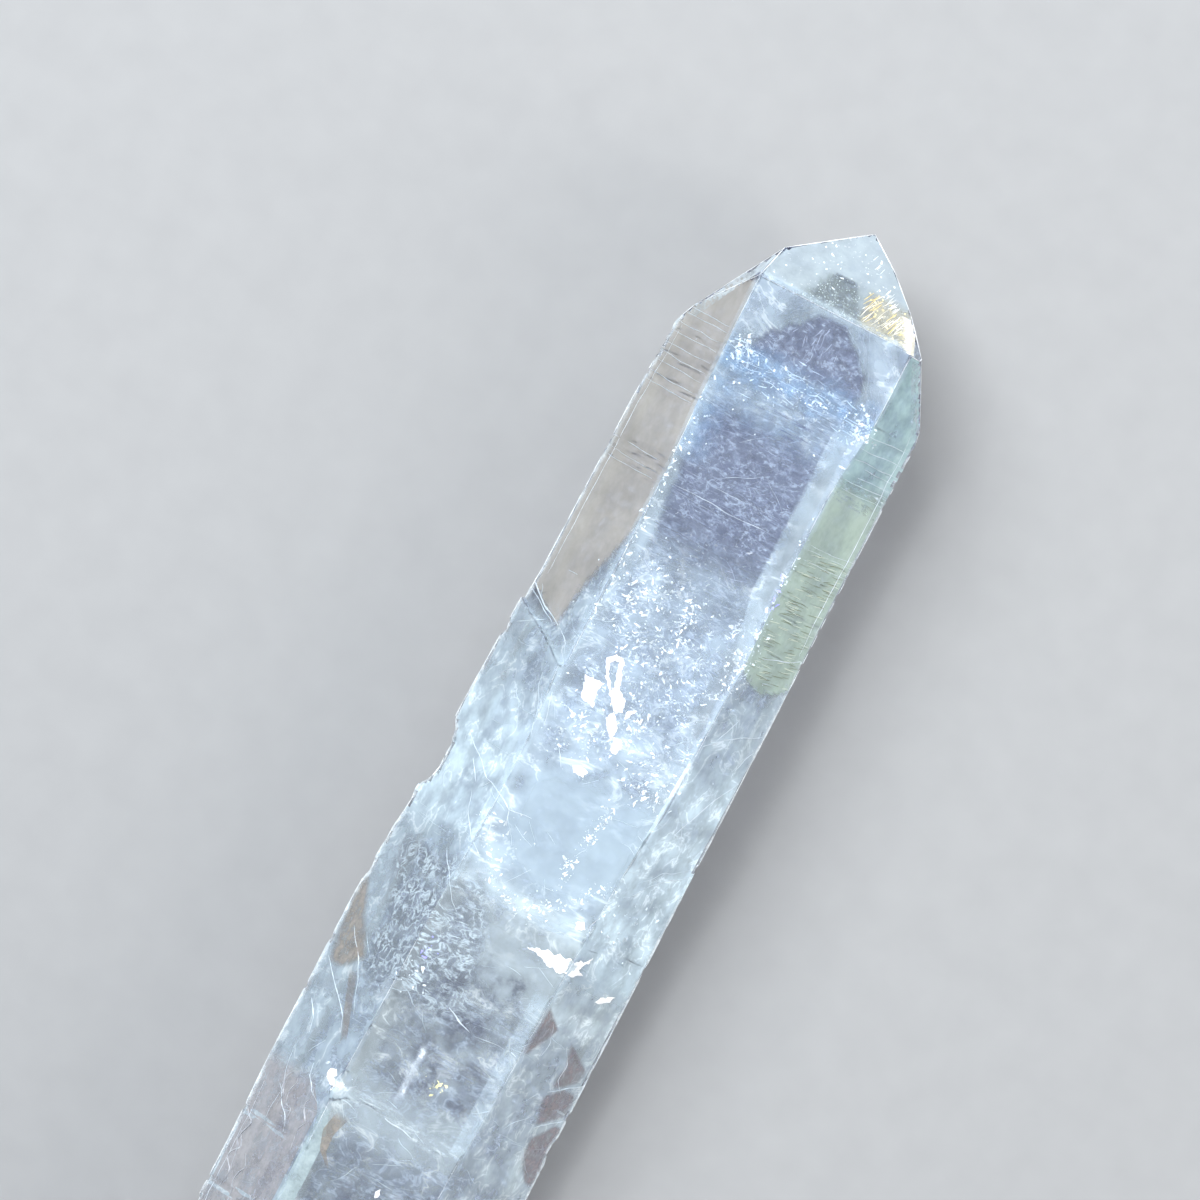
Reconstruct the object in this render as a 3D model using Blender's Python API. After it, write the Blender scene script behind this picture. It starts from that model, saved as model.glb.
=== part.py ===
"""A single lemurian quartz point, lying on its back prism face.

The crystal is a tapering six-sided prism with a slightly off-centre point and a broken root. Prism faces carry the
ladder of shallow cross grooves that the variety is known for, a slanting ledge and a transverse step. Shell-shaped
chips break the edges.

Sizes are in millimetres. While it is shaped the point is at the origin and the crystal runs along -Y, with +X to its
right and +Z out of its front face. At the end it is moved so that its bounding box stands centred on the origin.
"""

import math

import bmesh
import bpy
from mathutils import Matrix, Vector

MM = 0.001
LENGTH = 116.1
BACK_DISTANCE = 9.5

# Direction of each prism face, as an angle from +X towards +Z, going round the crystal.
FACE_ANGLES = {
    "right_front": 30.0,
    "front": 90.0,
    "left_front": 150.0,
    "left_back": 210.0,
    "back": 270.0,
    "right_back": 330.0,
}
FACES = list(FACE_ANGLES)

# How far each prism face is from the line through the point, at distances from the point.
# distance from point: front, right front, right back, left back, left front
TAPER = {
    0.0: (6.0, 9.25, 9.95, 10.8, 9.0),
    14.0: (6.0, 9.25, 9.95, 10.85, 9.0),
    21.7: (6.1, 8.65, 10.6, 11.6, 8.8),
    29.0: (6.15, 8.65, 10.55, 11.9, 8.6),
    37.3: (6.2, 8.95, 10.25, 11.95, 8.7),
    50.5: (6.4, 8.8, 10.4, 13.2, 8.7),
    58.0: (6.45, 8.15, 11.05, 13.4, 8.85),
    68.7: (6.55, 7.8, 11.4, 14.0, 9.3),
    83.4: (6.6, 7.4, 11.8, 13.8, 9.65),
    84.1: (7.15, 7.5, 11.7, 13.6, 9.9),
    92.0: (7.2, 7.3, 11.9, 13.3, 9.85),
    LENGTH + 6.0: (7.6, 7.9, 11.6, 13.3, 10.3),
}
TAPER_FACES = ("front", "right_front", "right_back", "left_back", "left_front")

# Cross grooves of the ladder: distance from point, then depth on the left faces and on the right faces.
RUNGS = (
    (13.6, 0.05, 0.0),
    (14.8, 0.07, 0.08),
    (15.9, 0.05, 0.05),
    (16.8, 0.09, 0.04),
    (17.7, 0.05, 0.1),
    (18.9, 0.1, 0.06),
    (19.9, 0.04, 0.07),
    (24.9, 0.08, 0.03),
    (25.8, 0.09, 0.07),
    (26.7, 0.07, 0.05),
    (28.4, 0.0, 0.08),
    (30.1, 0.03, 0.07),
    (31.6, 0.0, 0.09),
    (33.2, 0.04, 0.06),
    (34.8, 0.0, 0.08),
    (54.0, 0.05, 0.06),
    (63.5, 0.04, 0.08),
    (73.0, 0.08, 0.05),
    (77.5, 0.06, 0.08),
    (89.0, 0.08, 0.06),
    (95.5, 0.1, 0.08),
    (99.0, 0.07, 0.1),
    (104.0, 0.09, 0.07),
)
RUNG_WIDTH = 0.4
RUNG_BANK = 0.12
BACK_RUNG_SHARE = 0.8
FRONT_RUNG_SHARE = 0.4

# The ledge that slants across the left front face: it stands out below the line that it follows.
LEDGE_START = 40.2
LEDGE_HEIGHT = 0.5
LEDGE_SLANT = 3.6
LEDGE_SPREAD = 9.0
LEDGE_FADE = 13.0

# Grooves and ledges waver along the crystal by this much as they go round it.
WAVER = 0.13
WAVER_RATE = 0.8

# The transverse step of the front face wanders along the crystal by this much.
STEP_START = 84.0
STEP_WANDER = 0.9
STEP_SPREAD = 4.0

# Rows are never further apart than this, and each face but the back one has this many columns.
ROW_SPACING = 4.0
COLUMNS = 4

# Rhombohedral faces slope at the angle that quartz has: rise along the crystal for each unit outwards.
PYRAMID_RISE = math.tan(math.radians(51.8))

# Pyramid faces: direction as for the prism faces, and how far down the crystal the face is set past the point.
PYRAMID = (
    ("front", 90.0, 0.0),
    ("left_back", 210.0, 0.0),
    ("right_back", 330.0, 0.0),
    ("right_front", 30.0, 3.9),
    ("left_front", 150.0, 6.2),
    ("back", 270.0, 3.9),
    ("right_shoulder", 343.0, 0.78),
)

# Narrow faces that cut the two side edges just under the point: a point on each and its outward direction.
SIDE_BEVELS = (
    ((-7.2, -7.8, 5.5), (-0.886, 0.408, 0.224)),
    ((8.3, -8.3, 4.1), (0.886, 0.221, 0.24)),
)

# Shell-shaped chips: centre, radii along X, Y and Z, and turn about Z in degrees.
CHIPS = (
    ((-14.5, -53.4, -3.8), (2.5, 3.6, 6.0), 28.0),
    ((-15.0, -55.8, -4.6), (3.4, 3.4, 5.2), -14.0),
    ((-15.7, -60.4, -4.9), (3.0, 4.8, 4.4), -6.0),
    ((-13.1, -42.9, -3.7), (0.9, 1.3, 1.7), 20.0),
    ((-14.2, -66.6, -4.7), (1.1, 1.7, 1.8), -18.0),
    ((7.1, -22.4, 6.6), (0.9, 1.4, 0.8), 10.0),
    ((7.0, -29.6, 6.6), (0.8, 1.9, 0.8), -8.0),
    ((7.4, -36.9, 6.7), (1.0, 1.2, 0.8), 0.0),
    ((-7.0, -28.2, 6.6), (0.8, 1.6, 0.8), 12.0),
    ((6.0, -62.0, 7.0), (1.0, 1.8, 0.8), -14.0),
    ((-7.7, -83.0, 7.5), (2.3, 1.7, 1.3), 25.0),
    ((11.9, -80.5, -4.2), (1.1, 1.9, 1.6), 0.0),
    ((-14.3, -99.0, -3.0), (1.5, 3.3, 2.4), 8.0),
    ((5.9, -103.0, 8.0), (1.9, 2.6, 1.2), 20.0),
)
CHIP_ROUNDNESS = 2

# The root is broken across by slanting planes: a point on each and its outward direction.
ROOT_BREAKS = (
    ((-6.0, -LENGTH, -4.0), (0.22, -1.0, 0.3)),
    ((-11.0, -LENGTH + 1.5, -2.0), (-0.8, -1.0, 0.1)),
    ((8.0, -LENGTH + 3.5, 2.0), (0.95, -1.0, 0.5)),
    ((1.0, -LENGTH + 3.4, 6.0), (-0.35, -1.0, 0.8)),
    ((6.0, -LENGTH + 3.4, -7.0), (0.6, -1.0, -0.45)),
)

# Hollows in the broken root, written as the chips are.
ROOT_HOLLOWS = (
    ((-6.0, -LENGTH - 5.2, 0.0), (14.0, 8.0, 11.0), 6.0),
    ((6.0, -LENGTH - 2.6, -4.0), (12.0, 7.0, 9.0), -9.0),
    ((1.0, -LENGTH - 1.5, 6.0), (11.0, 7.0, 8.0), 14.0),
    ((13.5, -LENGTH + 1.0, -3.0), (5.0, 7.0, 7.0), 20.0),
)


def face_direction(angle):
    """The outward direction of a prism face in the X-Z plane."""
    turn = math.radians(angle)
    return Vector((math.cos(turn), 0.0, math.sin(turn)))


def blend(distance, table, column):
    """The value of one column of a table of distances, joined by straight lines."""
    keys = sorted(table)
    if distance <= keys[0]:
        return table[keys[0]][column]
    for low, high in zip(keys, keys[1:]):
        if distance <= high:
            share = (distance - low) / (high - low)
            return table[low][column] * (1.0 - share) + table[high][column] * share
    return table[keys[-1]][column]


def rung_depth(distance, face):
    """How deep the ladder's grooves cut a face at a distance from the point."""
    for place, left, right in RUNGS:
        if abs(distance - place) > RUNG_WIDTH / 2.0 + 1e-6:
            continue
        if face == "front":
            return right * FRONT_RUNG_SHARE
        depth = left if face.startswith("left") else right
        return depth * BACK_RUNG_SHARE if face.endswith("_back") else depth
    return 0.0


def ledge_height(distance, face):
    """How far the slanting ledge stands out of the left front face, fading towards the root."""
    past = distance - LEDGE_START
    if face != "left_front" or past < RUNG_BANK / 2.0:
        return 0.0
    return LEDGE_HEIGHT * max(0.0, 1.0 - past / LEDGE_FADE)


def face_distances(distance):
    """Distance of every prism face from the crystal's line, with grooves and the ledge."""
    found = {"back": BACK_DISTANCE}
    for column, face in enumerate(TAPER_FACES):
        plain = blend(distance, TAPER, column)
        found[face] = plain - rung_depth(distance, face) + ledge_height(distance, face)
    return found


def corner(distances, first, second):
    """Where the lines of two neighbouring prism faces cross."""
    a = face_direction(FACE_ANGLES[first])
    b = face_direction(FACE_ANGLES[second])
    area = a.x * b.z - a.z * b.x
    x = (distances[first] * b.z - distances[second] * a.z) / area
    z = (distances[second] * a.x - distances[first] * b.x) / area
    return Vector((x, 0.0, z))


def fade(distance, centre, spread):
    """One at the centre and nothing beyond the spread."""
    return max(0.0, 1.0 - abs(distance - centre) / spread)


def row_shift(distance, face, share):
    """How far a row is moved along the crystal, so that the ledge slants and the step wanders."""
    if face == "left_front":
        return LEDGE_SLANT * (1.0 - share) * fade(distance, LEDGE_START, LEDGE_SPREAD)
    if face == "front":
        wave = math.sin(share * 2.0 * math.pi + 0.6) * math.sin(share * math.pi)
        slant = LEDGE_SLANT * (share ** 3) * fade(distance, LEDGE_START, LEDGE_SPREAD)
        return STEP_WANDER * wave * fade(distance, STEP_START, STEP_SPREAD) + slant
    return 0.0


def ring_points(distance):
    """The outline of the crystal at a distance from the point."""
    distances = face_distances(distance)
    points = []
    for place, face in enumerate(FACES):
        before = FACES[place - 1]
        after = FACES[(place + 1) % len(FACES)]
        start = corner(distances, before, face)
        end = corner(distances, face, after)
        columns = 1 if face == "back" else COLUMNS
        for step in range(columns):
            share = step / columns
            point = start.lerp(end, share)
            waver = WAVER * math.sin(WAVER_RATE * distance + 1.7 * len(points))
            point.y = -distance - waver - row_shift(distance, face, share)
            points.append(point)
    return points


def row_distances():
    """Where the outline changes: both sides of every groove, the ledge, and even steps in between."""
    marks = {-4.0, LENGTH + 6.0, LEDGE_START, LEDGE_START + RUNG_BANK}
    marks.update(TAPER)
    for place, _, _ in RUNGS:
        half = RUNG_WIDTH / 2.0
        marks.update((place - half - RUNG_BANK, place - half, place + half, place + half + RUNG_BANK))
    ordered = sorted(marks)
    rows = [ordered[0]]
    for mark in ordered[1:]:
        if mark - rows[-1] < RUNG_BANK / 2.0:
            continue
        pieces = math.ceil((mark - rows[-1]) / ROW_SPACING)
        start = rows[-1]
        rows.extend(start + (mark - start) * (n + 1) / pieces for n in range(pieces))
    return rows


def prism_mesh():
    """The closed six-sided body, from past the point to past the root."""
    bm = bmesh.new()
    rings = [[bm.verts.new(point) for point in ring_points(row)] for row in row_distances()]
    for upper, lower in zip(rings, rings[1:]):
        for place in range(len(upper)):
            after = (place + 1) % len(upper)
            bm.faces.new((upper[place], upper[after], lower[after], lower[place]))
    bm.faces.new(rings[0][::-1])
    bm.faces.new(rings[-1])
    bmesh.ops.recalc_face_normals(bm, faces=bm.faces)
    return bm


def cut_away(bm, point, outward):
    """Remove what lies beyond a plane and close the cut with one flat face."""
    everything = list(bm.verts) + list(bm.edges) + list(bm.faces)
    cut = bmesh.ops.bisect_plane(
        bm,
        geom=everything,
        dist=1e-5,
        plane_co=point,
        plane_no=outward,
        clear_outer=True,
    )
    rim = [item for item in cut["geom_cut"] if isinstance(item, bmesh.types.BMEdge)]
    if rim:
        bmesh.ops.contextual_create(bm, geom=rim)


def cut_point(bm):
    """Cut the pyramid faces and the two narrow side faces."""
    for _, angle, setback in PYRAMID:
        outward = face_direction(angle) * PYRAMID_RISE + Vector((0.0, 1.0, 0.0))
        cut_away(bm, Vector((0.0, setback, 0.0)), outward.normalized())
    for place, outward in SIDE_BEVELS:
        cut_away(bm, Vector(place), Vector(outward).normalized())


def mesh_object(name, bm):
    """Put a bmesh into a new object of the scene."""
    mesh = bpy.data.meshes.new(name)
    bm.to_mesh(mesh)
    bm.free()
    built = bpy.data.objects.new(name, mesh)
    bpy.context.scene.collection.objects.link(built)
    return built


def shell_cutter(name, centre, radii, turn):
    """A faceted egg that leaves a shell-shaped scar."""
    bm = bmesh.new()
    shape = (
        Matrix.Translation(Vector(centre))
        @ Matrix.Rotation(math.radians(turn), 4, "Z")
        @ Matrix.Diagonal(Vector((*radii, 1.0)))
    )
    bmesh.ops.create_icosphere(bm, subdivisions=CHIP_ROUNDNESS, radius=1.0, matrix=shape)
    cutter = mesh_object(name, bm)
    cutter.hide_render = True
    cutter.display_type = "WIRE"
    return cutter


def cut_chips(crystal, prefix, chips):
    """Cut every chip of a list out of the crystal and drop the cutters."""
    cutters = [shell_cutter(f"{prefix}_{n}", *chip) for n, chip in enumerate(chips)]
    for cutter in cutters:
        modifier = crystal.modifiers.new(cutter.name, "BOOLEAN")
        modifier.operation = "DIFFERENCE"
        modifier.solver = "EXACT"
        modifier.object = cutter
    graph = bpy.context.evaluated_depsgraph_get()
    result = bpy.data.meshes.new_from_object(crystal.evaluated_get(graph))
    crystal.modifiers.clear()
    crystal.data = result
    for cutter in cutters:
        bpy.data.objects.remove(cutter, do_unlink=True)


def settle(crystal):
    """Triangulate, stand the bounding box centred on the origin and turn millimetres into metres."""
    bm = bmesh.new()
    bm.from_mesh(crystal.data)
    bmesh.ops.triangulate(bm, faces=bm.faces)
    bmesh.ops.remove_doubles(bm, verts=bm.verts, dist=0.004)
    bmesh.ops.dissolve_degenerate(bm, edges=bm.edges, dist=0.004)
    bmesh.ops.triangulate(bm, faces=bm.faces)
    bmesh.ops.recalc_face_normals(bm, faces=bm.faces)
    low = Vector([min(v.co[axis] for v in bm.verts) for axis in range(3)])
    high = Vector([max(v.co[axis] for v in bm.verts) for axis in range(3)])
    foot = Vector(((low.x + high.x) / 2.0, (low.y + high.y) / 2.0, low.z))
    for vertex in bm.verts:
        vertex.co = (vertex.co - foot) * MM
    bm.to_mesh(crystal.data)
    bm.free()


def quartz_material():
    """Clear, faintly blue-grey quartz."""
    material = bpy.data.materials.new("quartz")
    material.use_nodes = True
    shader = material.node_tree.nodes["Principled BSDF"]
    shader.inputs["Base Color"].default_value = (0.72, 0.77, 0.86, 1.0)
    shader.inputs["Roughness"].default_value = 0.12
    shader.inputs["IOR"].default_value = 1.544
    shader.inputs["Transmission Weight"].default_value = 0.85
    return material


def build():
    for leftover in list(bpy.data.objects):
        bpy.data.objects.remove(leftover, do_unlink=True)
    bm = prism_mesh()
    cut_point(bm)
    for place, outward in ROOT_BREAKS:
        cut_away(bm, Vector(place), Vector(outward).normalized())
    crystal = mesh_object("crystal", bm)
    cut_chips(crystal, "chip", CHIPS)
    cut_chips(crystal, "hollow", ROOT_HOLLOWS)
    settle(crystal)
    crystal.data.materials.clear()
    crystal.data.materials.append(quartz_material())


build()
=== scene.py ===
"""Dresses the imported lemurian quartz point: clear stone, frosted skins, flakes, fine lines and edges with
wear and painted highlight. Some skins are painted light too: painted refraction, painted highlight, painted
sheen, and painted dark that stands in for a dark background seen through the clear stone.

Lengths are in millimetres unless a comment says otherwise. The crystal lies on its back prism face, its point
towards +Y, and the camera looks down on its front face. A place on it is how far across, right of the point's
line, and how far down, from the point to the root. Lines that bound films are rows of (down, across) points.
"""

import math
import random

import bmesh
import bpy
from mathutils import Matrix, Vector
from mathutils.bvhtree import BVHTree
from mathutils.noise import noise as smooth_noise


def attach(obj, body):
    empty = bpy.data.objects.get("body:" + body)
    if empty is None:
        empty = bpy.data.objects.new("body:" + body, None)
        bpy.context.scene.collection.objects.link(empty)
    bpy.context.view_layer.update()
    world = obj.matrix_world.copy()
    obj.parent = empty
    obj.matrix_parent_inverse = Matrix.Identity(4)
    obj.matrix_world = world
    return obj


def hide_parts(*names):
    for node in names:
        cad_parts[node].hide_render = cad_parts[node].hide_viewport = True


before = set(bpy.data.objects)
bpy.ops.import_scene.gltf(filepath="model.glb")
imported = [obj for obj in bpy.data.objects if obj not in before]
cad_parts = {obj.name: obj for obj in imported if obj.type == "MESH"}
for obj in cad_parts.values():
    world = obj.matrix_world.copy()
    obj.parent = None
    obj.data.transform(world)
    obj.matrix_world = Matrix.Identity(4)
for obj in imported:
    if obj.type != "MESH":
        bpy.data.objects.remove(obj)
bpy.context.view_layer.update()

MM = 0.001
MM_PER_METRE = 1000.0
BODY = "root"

# Heights over the plane that the stone lies on: the point's line, the front face in the picture's upper half
# (it rises a little towards the root), and a place over everything.
LINE_HEIGHT = 9.5
FRONT_HEIGHT = 15.6
ABOVE_ALL = 40.0

# How far over the stone each layer of films lies, and the fine lines and the flakes.
SKIN_LIFT = 0.03
LAP_LIFT = 0.033
CALM_LIFT = 0.039
TINT_LIFT = 0.045
PANE_LIFT = 0.06
BAND_LIFT = 0.075
TAIL_LIFT = 0.09
VEIL_LIFT = 0.105
LINE_LIFT = 0.045
FLAKE_LIFT = 0.06

# The steps between points: in a film, along a fine line, round a plate, down an outline and just inside it.
GRID = 0.3
LINE_SPACING = 0.35
PLATE_SPACING = 0.16
OUTLINE_SPACING = 0.4
INNER_RIM_SPACING = 1.5

# The stone's refraction, and the roughness and specular level of the films.
IOR_QUARTZ = 1.544
FILM_ROUGHNESS = 0.5
FILM_GLOSS = 0.15

# The floor: how far under the stone it lies, its size, and how coarse its grain is.
FLOOR_GAP = 0.05
FLOOR_SIZE = 4000.0
FLOOR_GRAIN = 10.0 / 3.0

# The picture: its frame's width at the front face, how far the crystal leans, and the point's pixel.
FRAME_WIDTH = 99.4
LEAN_DEGREES = 27.3
IMAGE_PIXELS = 1200
POINT_PIXEL = (877, 232)
CAMERA_DISTANCE = 900.0
SENSOR_WIDTH = 36.0

# How far inside the surface a flake in the stone lies at the least.
BURIED_MARGIN = 0.08

# The search for the outline: how far out it starts, where it gives up, and its step.
OUTLINE_FROM = 14.0
OUTLINE_TO = 5.0
OUTLINE_STEP = 0.04

# The middle of the picture, measured on the front face.
CENTRE_ACROSS = -6.4
CENTRE_DOWN = 37.6

# The long edges between the front face and its two neighbours.
LEFT_EDGE = (
    (7.2, -7.0), (19.3, -6.73), (25.0, -6.44), (45.0, -6.7),
    (53.7, -6.4), (66.3, -6.85), (80.0, -7.24),
)
RIGHT_EDGE = (
    (7.9, 7.3), (15.4, 7.09), (19.8, 6.58), (29.0, 6.44),
    (37.2, 6.74), (61.0, 5.56), (80.5, 4.83), (90.0, 4.4),
)

# Lines that are surely beside the stone on either side, and where the milk ends at the root.
LEFT_OF_ALL = ((0.0, -14.0),)
RIGHT_OF_ALL = ((0.0, 13.0),)
ROOT = 116.0


# ---- places in and on the crystal

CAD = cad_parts["crystal"]

# The crystal's point, which is its vertex furthest along +Y.
POINT = max((vertex.co for vertex in CAD.data.vertices), key=lambda co: co.y).copy()


def spot(across, down, height):
    """A place by its distance right of the point's line, down from the point and over the resting plane."""
    return Vector((POINT.x + across * MM, POINT.y - down * MM, height * MM))


def welded_cad():
    """The CAD node's mesh with its split vertices joined and its flat facets merged."""
    bm = bmesh.new()
    bm.from_mesh(CAD.data)
    bmesh.ops.remove_doubles(bm, verts=bm.verts, dist=0.002 * MM)
    bmesh.ops.dissolve_limit(bm, angle_limit=math.radians(0.3), verts=bm.verts, edges=bm.edges)
    bmesh.ops.triangulate(bm, faces=bm.faces)
    bmesh.ops.recalc_face_normals(bm, faces=bm.faces)
    return bm


STONE = BVHTree.FromBMesh(welded_cad())


def under_skin(angle, down, depth):
    """A place just under the surface: its angle round the point's line (0 is right, 90 up), and its depth."""
    turn = math.radians(angle)
    outward = Vector((math.cos(turn), 0.0, math.sin(turn)))
    hit, normal, _, _ = STONE.ray_cast(spot(0.0, down, LINE_HEIGHT), outward)
    if hit is None:
        return None
    if normal.dot(outward) < 0.0:
        normal = -normal
    return hit - normal * depth * MM


def on_top(across, down, lift):
    """The place just over the upper surface, straight above these distances, or None beside the stone."""
    hit, normal, _, _ = STONE.ray_cast(spot(across, down, ABOVE_ALL), Vector((0.0, 0.0, -1.0)))
    if hit is None or abs(normal.z) < 0.1:
        return None
    if normal.z < 0.0:
        normal = -normal
    return hit + normal * lift * MM


def outline(down, side):
    """How far across the stone's outline is, as seen from above, on the left (-1) or the right (1)."""
    reach = OUTLINE_FROM
    while reach > OUTLINE_TO and on_top(side * reach, down, 0.0) is None:
        reach -= OUTLINE_STEP
    return side * reach


def buried(across, down, depth):
    """The place under the front face that the camera sees at these distances, or None if it isn't inside."""
    flat = Vector((across, -down)) - Vector((CENTRE_ACROSS, -CENTRE_DOWN))
    slope = flat.length / CAMERA_DISTANCE
    inside = math.tan(math.asin(math.sin(math.atan(slope)) / IOR_QUARTZ))
    if flat.length > 0.0:
        flat = flat + flat.normalized() * depth * inside
    place = spot(CENTRE_ACROSS + flat.x, CENTRE_DOWN - flat.y, FRONT_HEIGHT - depth)
    hit, normal, _, _ = STONE.find_nearest(place)
    return place if (place - hit).dot(normal) < -BURIED_MARGIN * MM else None


def step(value, low, high):
    """A smooth rise from 0 at low to 1 at high, or a fall where high is the smaller."""
    share = min(1.0, max(0.0, (value - low) / (high - low)))
    return share * share * (3.0 - 2.0 * share)


def between(value, low, high, soft):
    """1 between low and high, fading to 0 over the soft distance inside each end."""
    return step(value, low, low + soft) * step(value, high, high - soft)


def faded(share, start, full):
    """A film's share, made to rise from nothing at one distance down to all of itself at another."""
    return lambda across, down: share(across, down) * step(down, start, full)


def along(line, down):
    """How far across a line of (down, across) points is at a distance down."""
    for (first_down, first), (last_down, last) in zip(line, line[1:]):
        if down <= last_down:
            share = max(0.0, (down - first_down) / (last_down - first_down))
            return first + (last - first) * share
    return line[-1][1]


def part(line, top, bottom):
    """The stretch of a line of (down, across) points from top to bottom."""
    inside = tuple(point for point in line if top < point[0] < bottom)
    return ((top, along(line, top)), *inside, (bottom, along(line, bottom)))


def shifted(line, distance):
    """A line of (down, across) points moved to the right."""
    return tuple((down, across + distance) for down, across in line)


def walk(corners, steps):
    """Evenly spaced places between (across, down) corners, without the last. steps(length) is how many."""
    for (first_across, first_down), (last_across, last_down) in zip(corners, corners[1:]):
        count = steps(math.hypot(last_across - first_across, last_down - first_down))
        for n in range(count):
            across = first_across + (last_across - first_across) * n / count
            yield across, first_down + (last_down - first_down) * n / count


def ripple(across, down, size, seed=0.0):
    """Smooth noise between about -1 and 1 whose lumps are of the given size."""
    return smooth_noise(Vector((across / size, down / size, seed))) * 1.6


# ---- materials


def feed(tree, socket, value):
    """Set a socket to a value, or link it from another socket."""
    if isinstance(value, bpy.types.NodeSocket):
        tree.links.new(value, socket)
    else:
        socket.default_value = value


def set_inputs(tree, made, **inputs):
    """Set a shader node's inputs by name."""
    for name, value in inputs.items():
        feed(tree, made.inputs[name.replace("_", " ")], value)
    return made


def node(tree, kind, **inputs):
    """A new shader node with its inputs set."""
    return set_inputs(tree, tree.nodes.new(kind), **inputs)


def noise(tree, place, size, detail, **more):
    """Noise whose lumps are of the given size."""
    scale = MM_PER_METRE / size
    return node(tree, "ShaderNodeTexNoise", Vector=place, Scale=scale, Detail=detail, **more).outputs[0]


def spread(tree, value, low=0.0, high=1.0, least=0.0, most=1.0):
    """A value between low and high stretched to least and most, and held there beyond."""
    limits = {"From_Min": low, "From_Max": high, "To_Min": least, "To_Max": most}
    return node(tree, "ShaderNodeMapRange", Value=value, **limits).outputs[0]


def sum_of(tree, operation, first, second=0.0):
    """The result of one sum on two values or sockets."""
    made = tree.nodes.new("ShaderNodeMath")
    made.operation = operation
    feed(tree, made.inputs[0], first)
    feed(tree, made.inputs[1], second)
    return made.outputs[0]


def blend(tree, share, first, second):
    """A colour between two colours."""
    made = tree.nodes.new("ShaderNodeMix")
    made.data_type = "RGBA"
    feed(tree, made.inputs["Factor"], share)
    feed(tree, made.inputs[6], (*first, 1.0))
    feed(tree, made.inputs[7], (*second, 1.0))
    return made.outputs[2]


def new_material(name):
    """A material, its node tree, its shader and the place on the object as a socket."""
    material = bpy.data.materials.new(name)
    material.use_nodes = True
    tree = material.node_tree
    place = node(tree, "ShaderNodeTexCoord").outputs["Object"]
    return material, tree, tree.nodes["Principled BSDF"], place


def cover_share(tree):
    """How much of a film shows, painted on its mesh."""
    made = tree.nodes.new("ShaderNodeAttribute")
    made.attribute_name = "cover_share"
    return made.outputs["Fac"]


def set_film(tree, shader, colour, alpha):
    """Give a film its colour and its cover, and the roughness and gloss that all films share."""
    set_inputs(tree, shader, Base_Color=colour, Alpha=alpha)
    set_inputs(tree, shader, Roughness=FILM_ROUGHNESS, Specular_IOR_Level=FILM_GLOSS)


def quartz():
    """Clear stone with a faint blue body colour and finely etched, cross-grooved faces."""
    material, tree, shader, place = new_material("quartz_clear")
    shader.distribution = "GGX"
    stretched = node(tree, "ShaderNodeMapping", Vector=place, Scale=(60.0, 1500.0, 60.0)).outputs[0]
    grooves = node(tree, "ShaderNodeTexNoise", Vector=stretched, Scale=1.0, Detail=2.0).outputs[0]
    bump = node(tree, "ShaderNodeBump", Strength=0.18, Distance=0.02 * MM, Height=grooves).outputs[0]
    rough = spread(tree, noise(tree, place, 6.25, 1.0), most=0.12)
    set_inputs(tree, shader, Base_Color=(0.97, 0.98, 1.0, 1.0), Transmission_Weight=1.0, IOR=IOR_QUARTZ)
    set_inputs(tree, shader, Roughness=rough, Normal=bump)
    body = node(tree, "ShaderNodeVolumeAbsorption", Color=(0.45, 0.60, 0.85, 1.0), Density=9.0)
    set_inputs(tree, tree.nodes["Material Output"], Volume=body.outputs[0])
    return material


def film(name, ground, specks, cover, speck_size=0.15, speck_share=0.0, cloud_size=2.2, thinnest=0.5):
    """A frosted film: clouds of two colours or, with a share of specks, one colour with bright specks."""
    material, tree, shader, place = new_material(name)
    share = cover_share(tree)
    cloud = spread(tree, noise(tree, place, cloud_size, 4.0, Roughness=0.7), 0.34, 0.66)
    alpha = sum_of(tree, "MULTIPLY", spread(tree, cloud, least=cover * thinnest, most=cover), share)
    tint = cloud
    if speck_share > 0.0:
        cells = node(tree, "ShaderNodeTexVoronoi", Vector=place, Scale=MM_PER_METRE / speck_size)
        chance = node(tree, "ShaderNodeSeparateColor", Color=cells.outputs["Color"])
        likely = sum_of(tree, "MULTIPLY", sum_of(tree, "MULTIPLY", cloud, share), speck_share * 2.0)
        chosen = sum_of(tree, "LESS_THAN", chance.outputs[0], likely)
        tint = sum_of(tree, "MULTIPLY", chosen, chance.outputs[1])
        alpha = sum_of(tree, "MAXIMUM", alpha, tint)
    set_film(tree, shader, blend(tree, tint, ground, specks), alpha)
    return material


def veined(name, ground, veins, cover, size, width=0.12, strongest=0.9, gaps=0.42):
    """A film with pale veins that wind over it and break off. cover is the ground's, strongest the veins'."""
    material, tree, shader, place = new_material(name)
    turned = node(tree, "ShaderNodeMapping", Vector=place, Rotation=(0.0, 0.0, 0.5), Scale=(0.6, 1.0, 1.0))
    winding = noise(tree, turned.outputs[0], size, 4.0, Roughness=0.6, Distortion=0.8)
    away = sum_of(tree, "ABSOLUTE", sum_of(tree, "SUBTRACT", winding, 0.5))
    vein = sum_of(tree, "POWER", spread(tree, away, 0.0, width, 1.0, 0.0), 3.0)
    patches = noise(tree, place, size / 1.3, 3.0, Roughness=0.6)
    vein = sum_of(tree, "MULTIPLY", vein, spread(tree, patches, gaps, gaps + 0.18))
    clouded = spread(tree, patches, 0.36, 0.64, 0.72 * cover, 1.2 * cover)
    filled = spread(tree, vein, least=clouded, most=strongest)
    alpha = sum_of(tree, "MULTIPLY", filled, cover_share(tree))
    set_film(tree, shader, blend(tree, vein, ground, veins), alpha)
    return material


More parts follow.
